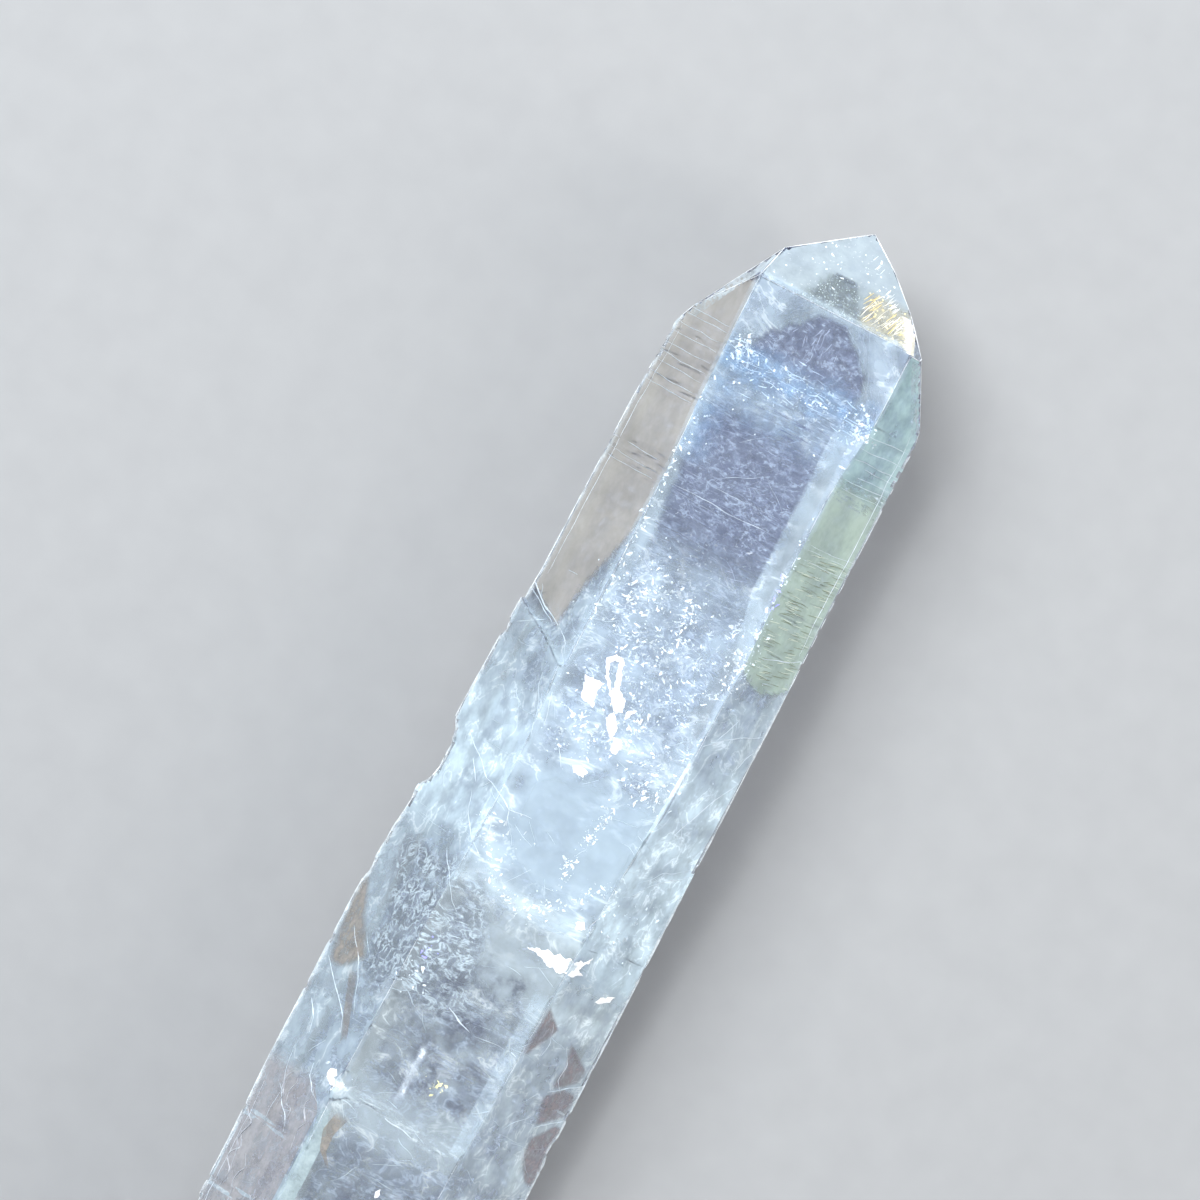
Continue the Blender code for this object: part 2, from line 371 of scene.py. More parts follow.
def flake_material(name, colour, roughness=0.3, metallic=0.0, dimmest=0.8):
    """Bright plates or lines, whose colour changes a little from one to the next."""
    material, tree, shader, place = new_material(name)
    share = spread(tree, noise(tree, place, 0.625, 1.0), 0.35, 0.62)
    tint = blend(tree, share, [c * dimmest for c in colour], colour)
    set_inputs(tree, shader, Base_Color=tint, Roughness=roughness, Metallic=metallic)
    return material


def line_material(name, colour):
    """A fine line's material, duller than a flake's."""
    return flake_material(name, colour, roughness=0.5)


def floor_material():
    """A plain pale floor with a faint grain and no gloss."""
    material, tree, shader, place = new_material("floor_pale")
    tint = blend(tree, noise(tree, place, FLOOR_GRAIN, 2.0), (0.29, 0.292, 0.295), (0.32, 0.322, 0.325))
    set_inputs(tree, shader, Base_Color=tint, Roughness=0.7, Specular_IOR_Level=0.0)
    return material


# ---- ways of making pieces


def new_object(name, data):
    """An object in the scene."""
    made = bpy.data.objects.new(name, data)
    bpy.context.scene.collection.objects.link(made)
    return made


def finish_object(name, bm, material):
    """Make an object that rides on the crystal's body from a bmesh."""
    mesh = bpy.data.meshes.new(name)
    bm.to_mesh(mesh)
    bm.free()
    made = new_object(name, mesh)
    mesh.materials.append(material)
    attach(made, BODY)
    return made


def crystal_body():
    """The stone itself: the CAD solid with a material of its own."""
    made = finish_object("crystal_stone", welded_cad(), quartz())
    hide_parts("crystal")


def sheet(name, grid, material):
    """A film from rows of (place, share): where each point is, and how much of the film shows there."""
    bm = bmesh.new()
    layer = bm.verts.layers.float.new("cover_share")
    rows = []
    for places in grid:
        row = []
        for place, share in places:
            vertex = None if place is None else bm.verts.new(place)
            if vertex is not None:
                vertex[layer] = max(0.0, share)
            row.append(vertex)
        rows.append(row)
    for upper, lower in zip(rows, rows[1:]):
        for column in range(len(upper) - 1):
            corners = (upper[column], upper[column + 1], lower[column + 1], lower[column])
            if None in corners or not any(corner[layer] > 0.01 for corner in corners):
                continue
            face = bm.faces.new(corners)
            face.smooth = True
    for loose in [vertex for vertex in bm.verts if not vertex.link_faces]:
        bm.verts.remove(loose)
    finish_object(name, bm, material)


def pane(name, left, right, share, material, lift=SKIN_LIFT):
    """A film on the upper surface between two lines. share(across, down) is how much of it shows."""
    top, bottom = left[0][0], left[-1][0]
    widest = max(along(right, down) - along(left, down) for down, _ in left + right)
    rows = math.ceil((bottom - top) / GRID)
    columns = max(4, math.ceil(widest / GRID))
    grid = []
    for row in range(rows + 1):
        down = top + (bottom - top) * (row / rows)
        first = along(left, down)
        width = along(right, down) - first
        acrosses = [first + width * (column / columns) for column in range(columns + 1)]
        grid.append([(on_top(across, down, lift), share(across, down)) for across in acrosses])
    sheet(name, grid, material)


def plain(share):
    """A film's share that is the same all over."""
    return lambda across, down: share


def soft_pane(name, left, right, soft, material):
    """A film between two lines that fades over a soft distance inside them and inside its ends."""

    def share(across, down):
        sides = step(across - along(left, down), 0.0, soft) * step(along(right, down) - across, 0.0, soft)
        return sides * between(down, left[0][0], left[-1][0], soft)

    pane(name, left, right, share, material, PANE_LIFT)


def fading_pane(name, left, right, most, top, bottom, soft, material):
    """A plain film between two lines that fades over a soft distance near its top and bottom."""
    pane(name, left, right, lambda _, down: most * between(down, top, bottom, soft), material, PANE_LIFT)


def back_sheet(name, angles, downs, depth, cover, material, rows, columns, soft=0.0):
    """A film under the surface between two angles and two distances down, whose sides may fade."""
    grid = []
    for row in range(rows + 1):
        down = downs[0] + (downs[1] - downs[0]) * (row / rows)
        line = []
        for column in range(columns + 1):
            turned = column / columns
            share = cover * between(turned, 0.0, 1.0, soft) if soft else cover
            line.append((under_skin(angles[0] + (angles[1] - angles[0]) * turned, down, depth), share))
        grid.append(line)
    sheet(name, grid, material)


def flakes(name, count, choose, sizes, tilt, material, seed):
    """Many small broken plates. choose(dice) gives each one's place, or None to skip it."""
    dice = random.Random(seed)
    bm = bmesh.new()
    for _ in range(count):
        place = choose(dice)
        if place is None:
            continue
        size = sizes[0] + (sizes[1] - sizes[0]) * dice.random() ** 4
        turn = Matrix.Rotation(dice.uniform(0.0, 2.0 * math.pi), 3, "Z")
        lean = Matrix.Rotation(math.radians(dice.uniform(-tilt, tilt)), 3, "X")
        corners = dice.randint(3, 7)
        long_side = dice.uniform(1.0, 3.2)
        points = []
        for corner in range(corners):
            angle = 2.0 * math.pi * (corner + dice.uniform(-0.3, 0.3)) / corners
            reach = size * 0.5 * dice.uniform(0.35, 1.0)
            flat = Vector((math.cos(angle) * reach * long_side, math.sin(angle) * reach, 0.0))
            points.append(bm.verts.new(place + (turn @ (lean @ flat)) * MM))
        bm.faces.new(points)
    finish_object(name, bm, material)


def tube(bm, points, radius, sides):
    """A thin tube through points, uneven along its length and tapering to its ends."""
    rings = []
    last = len(points) - 1
    for place, point in enumerate(points):
        ahead = points[min(place + 1, last)] - points[max(place - 1, 0)]
        across = ahead.normalized().orthogonal().normalized()
        up = ahead.normalized().cross(across)
        reach = radius * MM * math.sin(math.pi * (place + 0.35) / (last + 0.7)) ** 0.5
        reach *= 0.85 + 0.6 * smooth_noise(point * 1300.0)
        turns = [2.0 * math.pi * side / sides for side in range(sides)]
        rings.append([bm.verts.new(point + (across * math.cos(a) + up * math.sin(a)) * reach) for a in turns])
    for first, second in zip(rings, rings[1:]):
        for side in range(sides):
            after = (side + 1) % sides
            bm.faces.new((first[side], first[after], second[after], second[side]))
    bm.faces.new(rings[0][::-1])
    bm.faces.new(rings[-1])


def surface_line(bm, corners, radius, stray, seed):
    """A fine line on the upper surface through (across, down) corners, straying a little to either side."""
    points = []
    for across, down in walk(corners, lambda length: max(2, math.ceil(length / LINE_SPACING))):
        across += stray * ripple(across, down, 1.4, seed)
        down += stray * ripple(across, down, 1.4, seed + 5.0)
        points.append(on_top(across, down, LINE_LIFT))
    kept = [point for point in points if point is not None]
    if len(kept) > 2:
        tube(bm, kept, radius, sides=3)


def stroke(across, down, radius, run, fall):
    """A short line from a place, by how far it runs to the right and how far it falls."""
    return radius, (across, down), (across + run, down + fall)


def surface_lines(name, lines, material, stray=0.12):
    """Joined fine lines on the upper surface. Each is its radius and its (across, down) corners."""
    bm = bmesh.new()
    for number, (radius, *corners) in enumerate(lines):
        surface_line(bm, corners, radius, stray, number * 3.7)
    finish_object(name, bm, material)


# ---- where the marks on the faces lie


def arch_share(across, down):
    """1 inside the dark arch under the point: a flat top and ragged sides that slope out."""
    rag = 0.35 * ripple(across, down, 0.9, 2.0)
    left = max(-4.7, -0.8 - (down - 8.1) * 0.95) + rag
    right = min(4.8, 1.7 + (down - 8.3) * 0.95) + rag
    sides = step(across, left - 0.2, left + 0.3) * step(across, right + 0.2, right - 0.3)
    return sides * between(down, 8.0, 13.6, 0.4)


def window_share(across, down):
    """1 inside the long dark window below the blue band: ragged, but with a crisp right side."""
    rag = 0.3 * ripple(across, down, 1.0, 4.0)
    ends = step(down + 2.0 * rag, 17.0, 20.6) * step(down + rag, 33.0, 27.5)
    left = -6.2 + 0.07 * (down - 19.0) + rag
    return ends * step(across, left, left + 0.9) * step(across, 4.5, 4.3)


def marble_share(across, down):
    """1 where the marbled crack lies: a ragged slanting patch at the lower left."""
    rag = 0.9 * ripple(across, down, 2.0, 8.0)
    lean = 0.35 * (down - 61.5)
    patchy = 0.75 + 0.45 * ripple(across, down, 1.6, 21.0)
    right = step(across, -3.2 + lean + rag, -5.4 + lean + rag)
    left = step(across, -12.6 + 0.5 * lean, -11.6 + 0.6 * lean)
    return right * left * between(down + rag, 61.5, 75.5, 2.5) * patchy


def bowl_rim(share):
    """How far down the milky bowl's round rim is, at a share of the way across it."""
    return 58.8 + 4.4 * math.sin(math.pi * min(1.0, share)) ** 0.8


def tan_side(down):
    """How far across the tan painted refraction reaches: to the front face, and less farther down."""
    return along(LEFT_EDGE, down) + 0.5 - 2.2 * step(down, 28.0, 41.0)


def green_end(across):
    """How far down the green painted refraction reaches: a round end."""
    return 38.4 - 0.25 * (across - 8.8) ** 2


# ---- the front face


def front_milk_share(across, down):
    """How milky the front face is from the point to the root."""
    patch = ripple(across, down, 2.6, 6.0)
    if down < 14.0:
        return 0.76 * (1.0 - 0.86 * arch_share(across, down)) * (1.0 - 0.35 * step(down, 12.4, 14.0))
    share = 0.47 + 0.14 * between(down, 33.0, 45.0, 5.0) * step(across, 1.0, -4.0)
    share += 0.22 * step(down, 27.0, 32.5) + 0.22 * between(down, 15.0, 20.0, 1.6)
    rim = bowl_rim(max(0.0, across + 6.0) / 10.4)
    share += 0.12 * between(down, rim - 1.3, rim + 1.0, 0.9) * between(across, -6.5, 7.0, 1.0)
    share += 0.40 * step(down, 40.0, 51.5) - 0.10 * step(down, 63.0, 67.0) - 0.30 * step(down, 68.0, 74.0)
    share += 0.17 * between(down, 80.5, 87.0, 1.8) - 0.12 * step(down, 86.0, 88.0)
    share += 0.28 * between(down, 17.0, 37.0, 3.0) * step(across - along(LEFT_EDGE, down), 1.7, 0.9)
    share *= 1.0 - (0.70 - 0.25 * patch) * window_share(across, down)
    share *= 1.0 - 0.6 * marble_share(across, down)
    return share * (1.0 + 0.14 * patch)


def add_front_milk(milk):
    """Milk on the front face in two lapping films, blue-white above and greyer below."""
    low_milk = veined("low_milk", (0.60, 0.705, 0.74), (0.82, 0.90, 0.92), 0.36, 3.0, 0.06, 0.60)
    upper_share = faded(front_milk_share, 65.0, 62.5)
    lower_share = faded(front_milk_share, 61.0, 63.0)
    pane("front_milk", part(LEFT_EDGE, 7.2, 65.0), RIGHT_EDGE, upper_share, milk)
    pane("front_low_milk", part(LEFT_EDGE, 61.0, ROOT), RIGHT_EDGE, lower_share, low_milk, LAP_LIFT)


def add_calm_veils():
    """Smooth veils over the milk: a pale one in the bowl, and a grey one in two patches below it."""
    calm = film("calm_milk", (0.36, 0.45, 0.52), (0.40, 0.495, 0.565), 0.56, cloud_size=6.0, thinnest=0.8)

    def calm_share(across, down):
        rag = 0.6 * ripple(across, down, 2.0, 23.0)
        top = 50.4 - 0.25 * min(0.0, across) + rag
        rim = 62.4 - 0.10 * (across - 0.8) ** 2 + rag
        return step(down, top, top + 1.8) * step(down, rim, rim - 2.0) * between(across, -5.6, 6.8, 2.0)

    pane("calm_veil", part(LEFT_EDGE, 50.0, 62.0), RIGHT_EDGE, calm_share, calm, CALM_LIFT)
    grey = film("calm_grey", (0.32, 0.375, 0.405), (0.365, 0.43, 0.465), 0.58, cloud_size=4.0, thinnest=0.7)

    def grey_share(across, down):
        rag = 0.7 * ripple(across, down, 2.2, 25.0)
        ledge = between(down + rag, 64.2, 71.5, 1.6) * step(across + rag - 0.3 * (down - 67.0), -3.4, -1.4)
        band = 0.8 * between(down + rag, 80.6, 86.0, 1.5) * step(across, -6.6, -5.6)
        return (ledge + band) * step(across, 5.6, 4.6)

    pane("grey_veil", part(LEFT_EDGE, 64.0, 86.0), RIGHT_EDGE, grey_share, grey, CALM_LIFT)


# Pale veils along the edges: name, edge, where it starts and ends, half its width, fading length and share.
EDGE_VEILS = (
    ("upper_left_veil", LEFT_EDGE, 7.6, 37.0, 0.3, 1.0, 0.45),
    ("upper_right_veil", RIGHT_EDGE, 8.2, 44.0, 0.3, 1.0, 0.45),
    ("edge_veil", LEFT_EDGE, 36.0, 66.0, 0.6, 3.0, 0.8),
    ("low_right_veil", RIGHT_EDGE, 60.0, 92.0, 0.25, 2.0, 0.4),
)


def edge_veil(name, edge, top, bottom, wide, fade, most, milk):
    """One pale veil along a long edge."""
    line = part(edge, top, bottom)

    def share(across, down):
        return most * between(down, top, bottom, fade) * step(abs(across - along(line, down)), wide, 0.1)

    pane(name, shifted(line, -wide), shifted(line, wide), share, milk, VEIL_LIFT)


def add_edge_veils(milk):
    """Pale veils along the front face's long edges and along the brow, its edge under the point."""
    for veil in EDGE_VEILS:
        edge_veil(*veil, milk)

    def brow_share(across, down):
        brow = 7.3 + 0.03 * (across + 7.0)
        return 0.4 * step(abs(down - brow), 0.45, 0.1)

    pane("brow_veil", ((6.7, -7.0), (8.4, -7.0)), ((6.7, 6.4), (8.4, 6.9)), brow_share, milk, VEIL_LIFT)


def add_pale_strips(milk):
    """Plain pale strips down the right side of the front face. The upper one is painted reflection: the
    light-grey band that the right face reflects inside the stone.
    """
    # Painted reflection: the light-grey band that the right face reflects inside the stone.
    left = ((15.4, 4.4), (31.0, 4.4), (37.0, 5.6))
    right = ((15.4, 7.0), (20.0, 6.7), (31.0, 6.3), (37.0, 6.6))
    fading_pane("pale_strip", left, right, 0.5, 15.0, 38.0, 1.5, milk)
    left = ((68.5, 3.7), (84.5, 3.5))
    fading_pane("low_pale_strip", left, ((68.5, 5.0), (84.5, 4.6)), 0.55, 68.5, 84.5, 1.0, milk)


def add_painted_window_dark():
    """Painted dark in the arch and the window, and faintly under the ledge on the left face: violet films
    with paler veins that stand in for a dark background seen through the clear stone.
    """
    # Painted dark: the violet stands in for a dark background seen through the clear stone.
    violet = veined("window_dark_paint", (0.17, 0.20, 0.28), (0.38, 0.46, 0.58), 0.49, 0.8, 0.10, 0.62)

    def window_dark_share(across, down):
        return max(arch_share(across, down), window_share(across, down))

    def ledge_dark_share(across, down):
        return 0.05 * step(down - 0.66 * across, 46.6, 47.0) * step(down + 0.6 * across, 35.5, 35.1)

    pane("painted_dark_windows", part(LEFT_EDGE, 7.6, 42.0), RIGHT_EDGE, window_dark_share, violet, PANE_LIFT)
    left = ((38.6, -12.2), (42.8, -12.2))
    pane("painted_dark_ledge", left, ((38.6, -8.4), (42.8, -8.4)), ledge_dark_share, violet, PANE_LIFT)


def add_crackle():
    """A fine bright crackle below the window and beside its upper left corner."""
    crackle = veined("crackle_skin", (0.62, 0.78, 0.96), (0.92, 0.98, 1.0), 0.10, 1.1, 0.05, 0.85)

    def crackle_share(across, down):
        lower = between(down, 30.0, 52.0, 6.0) * max(0.0, 0.75 + 0.8 * ripple(across, down, 2.4, 12.0))
        return lower + 0.5 * between(down, 16.0, 26.0, 2.0) * step(across, -4.0, -5.6)

    pane("speck_skin", part(LEFT_EDGE, 15.0, 54.0), RIGHT_EDGE, crackle_share, crackle, TINT_LIFT)


def add_blue_band():
    """The blue band under the arch, with a tail down the left edge."""
    azure = film("azure_skin", (0.24, 0.40, 0.62), (0.85, 0.93, 1.0), 0.48, 0.14, 0.03, 0.8, 0.2)

    def azure_share(across, down):
        drift = 0.8 * ripple(across * 0.5, down, 1.1, 9.0)
        middle = between(down + drift, 12.0, 17.2, 2.6)
        tail = 0.55 * step(across, -3.0, -5.6) * between(down, 14.0, 25.5, 3.0)
        return max(middle, tail, 0.28 * between(down, 14.0, 21.0, 3.0))

    pane("azure_band", part(LEFT_EDGE, 11.5, 24.0), RIGHT_EDGE, azure_share, azure, BAND_LIFT)


# ---- the point


def add_milk_and_sheen_on_point():
    """Milk on the point's front face, partly real and partly painted sheen of bright light off the face,
    thinner in its dark patch and its golden highlight corner.
    """
    # Partly painted sheen: the milk's cover is raised to stand in for bright light reflected off the point.
    milk = film("point_milk_and_sheen", (0.455, 0.535, 0.57), (0.90, 0.94, 1.0), 0.62, 0.14, 0.02, 1.4, 0.8)

    def milk_share(across, down):
        half = 0.7 + 0.5 * (down - 4.6)
        dark = step(abs(across + 0.4), half + 0.5, half) * step(down, 4.4, 4.7)
        gold = step(across, 1.5, 2.5) * step(down, 4.2, 5.6)
        return 0.95 * (1.0 - 0.9 * dark) * (1.0 - 0.7 * gold)

    left = ((0.15, -0.6), (4.4, -6.5), (7.3, -7.05))
    right = ((0.15, 0.6), (4.4, 5.8), (7.85, 7.45))
    pane("point_skin", left, right, milk_share, milk)


def add_point_dark():
    """The dark patch above the brow, which widens downward."""
    dark = film("point_dark", (0.23, 0.275, 0.28), (0.46, 0.54, 0.57), 0.62, 0.10, 0.16, 0.8)

    def dark_share(across, down):
        rag = 0.5 * ripple(across, down, 0.7)
        half = 1.3 + 0.55 * (down - 4.6)
        return between(down, 4.4, 8.2, 0.6) * step(abs(across + 0.3) + rag, half + 0.4, half - 0.5)

    left = ((4.4, -3.4), (7.6, -3.6))
    pane("point_dark_patch", left, ((4.4, 3.0), (7.6, 3.2)), dark_share, dark, TINT_LIFT)


def add_point_highlight():
    """Painted highlight on the point's right corner: a golden film and a cream tip that stand in for sunlight
    refracted through the point.
    """
    # Painted highlight: the gold stands in for sunlight refracted through the point.
    gold = film("point_gold_highlight", (0.50, 0.48, 0.36), (0.98, 0.84, 0.46), 0.56, 0.2, 0.12, 0.6)

    def gold_highlight_share(across, down):
        return step(across, 1.5, 2.6) * step(down, 4.0, 5.4)

    pane("gold_highlight_skin", ((4.2, 1.6), (7.6, 1.5)), ((4.2, 5.4), (7.6, 7.2)), gold_highlight_share, gold, TINT_LIFT)
    # Painted highlight: the cream tip is the brightest of the refracted sunlight.
    cream = film("point_cream_highlight", (0.90, 0.84, 0.66), (1.0, 0.98, 0.90), 0.9, cloud_size=0.8)

    def cream_highlight_share(across, down):
        return step(across, 4.7 + (down - 5.2) * 0.62, 5.6 + (down - 5.2) * 0.66)

    pane("cream_highlight_corner", ((5.2, 4.6), (7.8, 6.1)), ((5.2, 6.4), (7.8, 7.4)), cream_highlight_share, cream, PANE_LIFT)


def add_corner_streaks(dice):
    """Golden and warm white streaks in the golden corner: real streaks whose gold and warm white colour is
    painted highlight.
    """
    for title, count, colour in (("gold", 16, (0.95, 0.74, 0.30)), ("warm", 26, (1.0, 0.96, 0.84))):
        lines = []
        for _ in range(count):
            across = dice.uniform(1.8, 6.4)
            top = max(across * 0.9 + 0.5, dice.uniform(4.4, 6.4))
            fall = min(7.4, top + dice.uniform(0.5, 2.2)) - top
            lines.append(stroke(across + 0.35, top, dice.uniform(0.02, 0.06), -0.7, fall))
        surface_lines(f"{title}_streaks", lines, flake_material(f"streak_{title}", colour))


def add_slope_streaks(dice):
    """White streaks along the two slopes of the point, more of them on the right."""
    lines = []
    for _ in range(60):
        share = dice.random()
        across = 1.2 + 5.4 * share - dice.uniform(0.05, 0.3 + 0.8 * share)
        down = 1.5 + 4.7 * share
        length = dice.uniform(0.3, 0.9)
        lines.append(stroke(across, down, dice.uniform(0.02, 0.06), -0.45 * length, length))
    for _ in range(30):
        share = dice.random()
        across = -0.9 - 5.2 * share + dice.uniform(0.05, 0.4)
        down = 1.3 + 3.4 * share
        length = dice.uniform(0.2, 0.6)
        lines.append(stroke(across, down, dice.uniform(0.015, 0.04), 0.5 * length, 0.6 * length))
    surface_lines("point_edge_streaks", lines, flake_material("streak_white", (0.93, 0.96, 1.0)), stray=0.08)


def add_point_facets():
    """Frost on the two narrow facets beside the point."""
    facet = film("facet_frost", (0.52, 0.60, 0.64), (0.70, 0.78, 0.82), 0.6, cloud_size=1.2, thinnest=0.8)
    left = ((4.6, -8.4), (13.0, -12.6))
    pane("left_facet", left, ((4.6, -6.2), (7.2, -7.0), (13.0, -10.2)), plain(0.9), facet)
    left = ((6.6, 6.4), (7.9, 7.3), (13.4, 10.2))
    pane("right_facet", left, ((6.6, 7.8), (13.4, 11.9)), plain(0.6), facet)


# ---- the side faces


def add_tan_face():
    """Painted refraction on the upper left face: a tan film that stands in for the surroundings seen through
    the clear stone, down to a slanting ledge.
    """
    # Painted refraction: the tan is the surroundings seen through the stone, not a colour of the stone.
    tan = film("left_tan_refraction", (0.37, 0.355, 0.32), (0.43, 0.415, 0.38), 0.66, cloud_size=5.0, thinnest=0.8)

    def tan_share(across, down):
        end = 38.6 + (across + 12.2) * 0.72
        side = tan_side(down)
        return step(down, 7.6, 8.6) * step(down, end + 0.15, end - 0.15) * step(across, side, side - 0.5)

    pane("tan_refraction_skin", part(LEFT_OF_ALL, 7.4, 41.4), LEFT_EDGE, tan_share, tan)


def add_green_face():
    """Painted refraction on the upper right face: a teal film and a green one below it, which stand in for
    the surroundings seen through the clear stone.
    """
    # Painted refraction: teal and green are the surroundings seen through the stone.
    teal = film("right_teal_refraction", (0.37, 0.56, 0.57), (0.50, 0.71, 0.71), 0.60, cloud_size=4.0)
    green = film("right_green_refraction", (0.43, 0.55, 0.46), (0.52, 0.65, 0.55), 0.67, cloud_size=4.0, thinnest=0.75)

    def green_share(across, down):
        end = green_end(across)
        return step(down, 18.5, 21.0) * step(down, end + 0.12, end - 0.12)

    teal_share = faded(plain(1.0), 21.5, 18.5)
    pane("teal_refraction_skin", part(RIGHT_EDGE, 7.9, 22.0), RIGHT_OF_ALL, teal_share, teal)
    pane("green_refraction_skin", part(RIGHT_EDGE, 18.0, 38.6), RIGHT_OF_ALL, green_share, green)


def add_side_milk():
    """Milk on both side faces below their painted refraction, and greyer milk lower down on the right."""
    milk = veined("side_milk", (0.59, 0.73, 0.81), (0.82, 0.93, 0.99), 0.42, 3.0, 0.07, 0.62)
    low_milk = veined("low_side_milk", (0.57, 0.68, 0.73), (0.80, 0.89, 0.92), 0.42, 3.0, 0.07, 0.62)

    def left_share(across, down):
        side = tan_side(down)
        wedge = step(down, 29.0, 33.0) * step(across, side - 0.5, side)
        milky = 0.78 * max(wedge, step(down, 39.0, 42.0)) + 0.50 * between(down, 46.0, 62.0, 4.0)
        milky *= 1.0 - 0.7 * marble_share(across, down)
        return milky * (1.0 + 0.2 * ripple(across, down, 2.5, 14.0))

    def right_share(across, down):
        end = green_end(across)
        milky = 0.98 * step(down, end - 0.5, end + 0.4) + 0.62 * between(down, 44.0, 73.0, 5.0)
        return milky * (1.0 + 0.25 * ripple(across, down, 2.5, 16.0))

    upper_share = faded(right_share, 70.0, 64.0)
    lower_share = faded(right_share, 64.0, 70.0)
    pane("left_milk", part(LEFT_OF_ALL, 28.0, ROOT), LEFT_EDGE, left_share, milk)
    pane("right_milk", part(RIGHT_EDGE, 35.5, 70.0), RIGHT_OF_ALL, upper_share, milk)
    pane("right_low_milk", part(RIGHT_EDGE, 64.0, ROOT), RIGHT_OF_ALL, lower_share, low_milk, LAP_LIFT)


# ---- the lower half


def add_marbled_crack():
    """The marbled healed crack at the lower left."""
    marble = veined("marbled_crack", (0.215, 0.25, 0.28), (0.57, 0.68, 0.75), 0.52, 1.0, 0.15, 0.85, 0.30)
    left = ((60.0, -12.9), (76.5, -12.9))
    pane("marbled_skin", left, ((60.0, 1.5), (76.5, 1.5)), marble_share, marble, TINT_LIFT)


def add_low_dark_patches():
    """Dark patches on the lower front face."""
    low_dark_film = film("low_dark_mottle", (0.15, 0.165, 0.20), (0.10, 0.115, 0.15), 0.62, cloud_size=0.55, thinnest=0.05)

    def low_dark_share(across, down):
        upper = between(down, 67.0, 83.0, 3.0) * between(across, -5.0, 4.4, 2.4)
        lower = 0.8 * step(down, 86.0, 90.0) * step(across, -6.2, -5.0)
        return (upper + lower) * max(0.0, 0.35 + 1.2 * ripple(across, down, 1.7, 18.0))

    pane("low_dark_skin", part(LEFT_EDGE, 67.0, 114.0), RIGHT_EDGE, low_dark_share, low_dark_film, PANE_LIFT)


def add_pale_tail():
    """A short pale streak down the lower front face."""
    tail = veined("pale_tail_film", (0.62, 0.70, 0.78), (0.88, 0.94, 1.0), 0.45, 1.0, 0.1, 0.8)
    top, bottom = 76.6, 82.6

    def tail_share(across, down):
        middle = -2.25 - 0.02 * (down - top) + 0.25 * ripple(across, down, 0.8, 27.0)
        return between(down, top, bottom, 1.0) * step(abs(across - middle), 0.42, 0.12)

    right = ((top, -1.8), (bottom, -1.6))
    pane("pale_tail", ((top, -2.7), (bottom, -3.1)), right, tail_share, tail, TAIL_LIFT)


# The mauve panes on the lower right: name, left line and right line.
MAUVE_PANES = (
    (
        "mauve_upper",
        ((71.4, 8.2), (73.6, 8.7), (75.6, 8.4)),
        ((71.4, 8.4), (73.2, 10.7), (74.4, 10.6), (75.6, 8.9)),
    ),
    ("mauve_middle", ((75.3, 9.6), (76.6, 8.2), (79.0, 8.7)), ((75.3, 10.9), (77.4, 10.9), (79.0, 9.1))),
    ("mauve_lower", ((78.3, 10.3), (80.2, 8.9), (82.0, 9.0), (84.0, 10.2)), ((78.3, 11.3), (84.0, 11.3))),
    ("mauve_inner", ((69.2, 5.1), (74.0, 4.9)), ((69.2, 5.3), (71.0, 7.0), (74.0, 5.5))),
)


def add_mauve_panes():
    """Mauve panes at the lower right."""
    mauve = film("mauve_pane", (0.20, 0.165, 0.17), (0.27, 0.23, 0.24), 0.70, cloud_size=1.2)
    for name, left, right in MAUVE_PANES:
        soft_pane(name, left, right, 0.35, mauve)


def add_brown_panes():
    """A brown sliver and streak on the lower left face, and a brown arc on the front face."""
    brown = film("left_brown", (0.22, 0.20, 0.17), (0.30, 0.27, 0.24), 0.84, cloud_size=1.2)
    sliver = ((66.6, -12.8), (70.0, -11.5), (73.0, -9.8), (75.0, -11.3))
    soft_pane("brown_sliver", ((66.6, -14.2), (75.0, -12.9)), sliver, 0.7, brown)
    left = ((74.5, -10.8), (80.0, -8.8))
    fading_pane("brown_streak", left, ((74.5, -10.1), (80.0, -8.2)), 0.6, 74.0, 80.5, 1.5, brown)
    left = ((85.2, -6.3), (87.0, -6.7), (88.6, -6.2), (89.8, -4.9))
    right = ((85.2, -5.1), (87.0, -5.7), (88.6, -5.6), (89.8, -4.7))
    fading_pane("brown_arc", left, right, 1.0, 85.0, 90.0, 1.0, brown)


def add_rose_face():
    """Rose frost with long pale streaks on the lower left face."""
    rose = film("left_rose", (0.29, 0.265, 0.27), (0.40, 0.385, 0.39), 0.66, cloud_size=2.5)
    right = ((83.2, -9.4), (84.4, -8.8), (86.0, -7.7), (114.0, -7.7))
    left = ((83.2, -14.0), (114.0, -14.0))
    pane("rose_skin", left, right, faded(plain(1.0), 83.0, 85.0), rose, TINT_LIFT)
    draw = random.Random(47).uniform
    lines = []
    for _ in range(16):
        across, down = draw(-12.8, -8.8), draw(83.5, 104.0)
        lines.append(stroke(across, down, draw(0.07, 0.18), draw(0.2, 1.2), draw(3.0, 8.0)))
    surface_lines("rose_streaks", lines, line_material("line_rose", (0.46, 0.48, 0.52)), stray=0.35)


def add_bevel():
    """The pale bevel between the left face and the front face at the root."""
    bevel = film("bevel_frost", (0.36, 0.46, 0.48), (0.46, 0.56, 0.58), 0.66, cloud_size=2.0)
    right = ((85.4, -6.9), (88.0, -6.1), (114.0, -6.1))
    pane("pale_bevel", ((85.4, -7.5), (114.0, -7.5)), right, plain(1.0), bevel, TINT_LIFT)


# ---- the back faces and the flakes


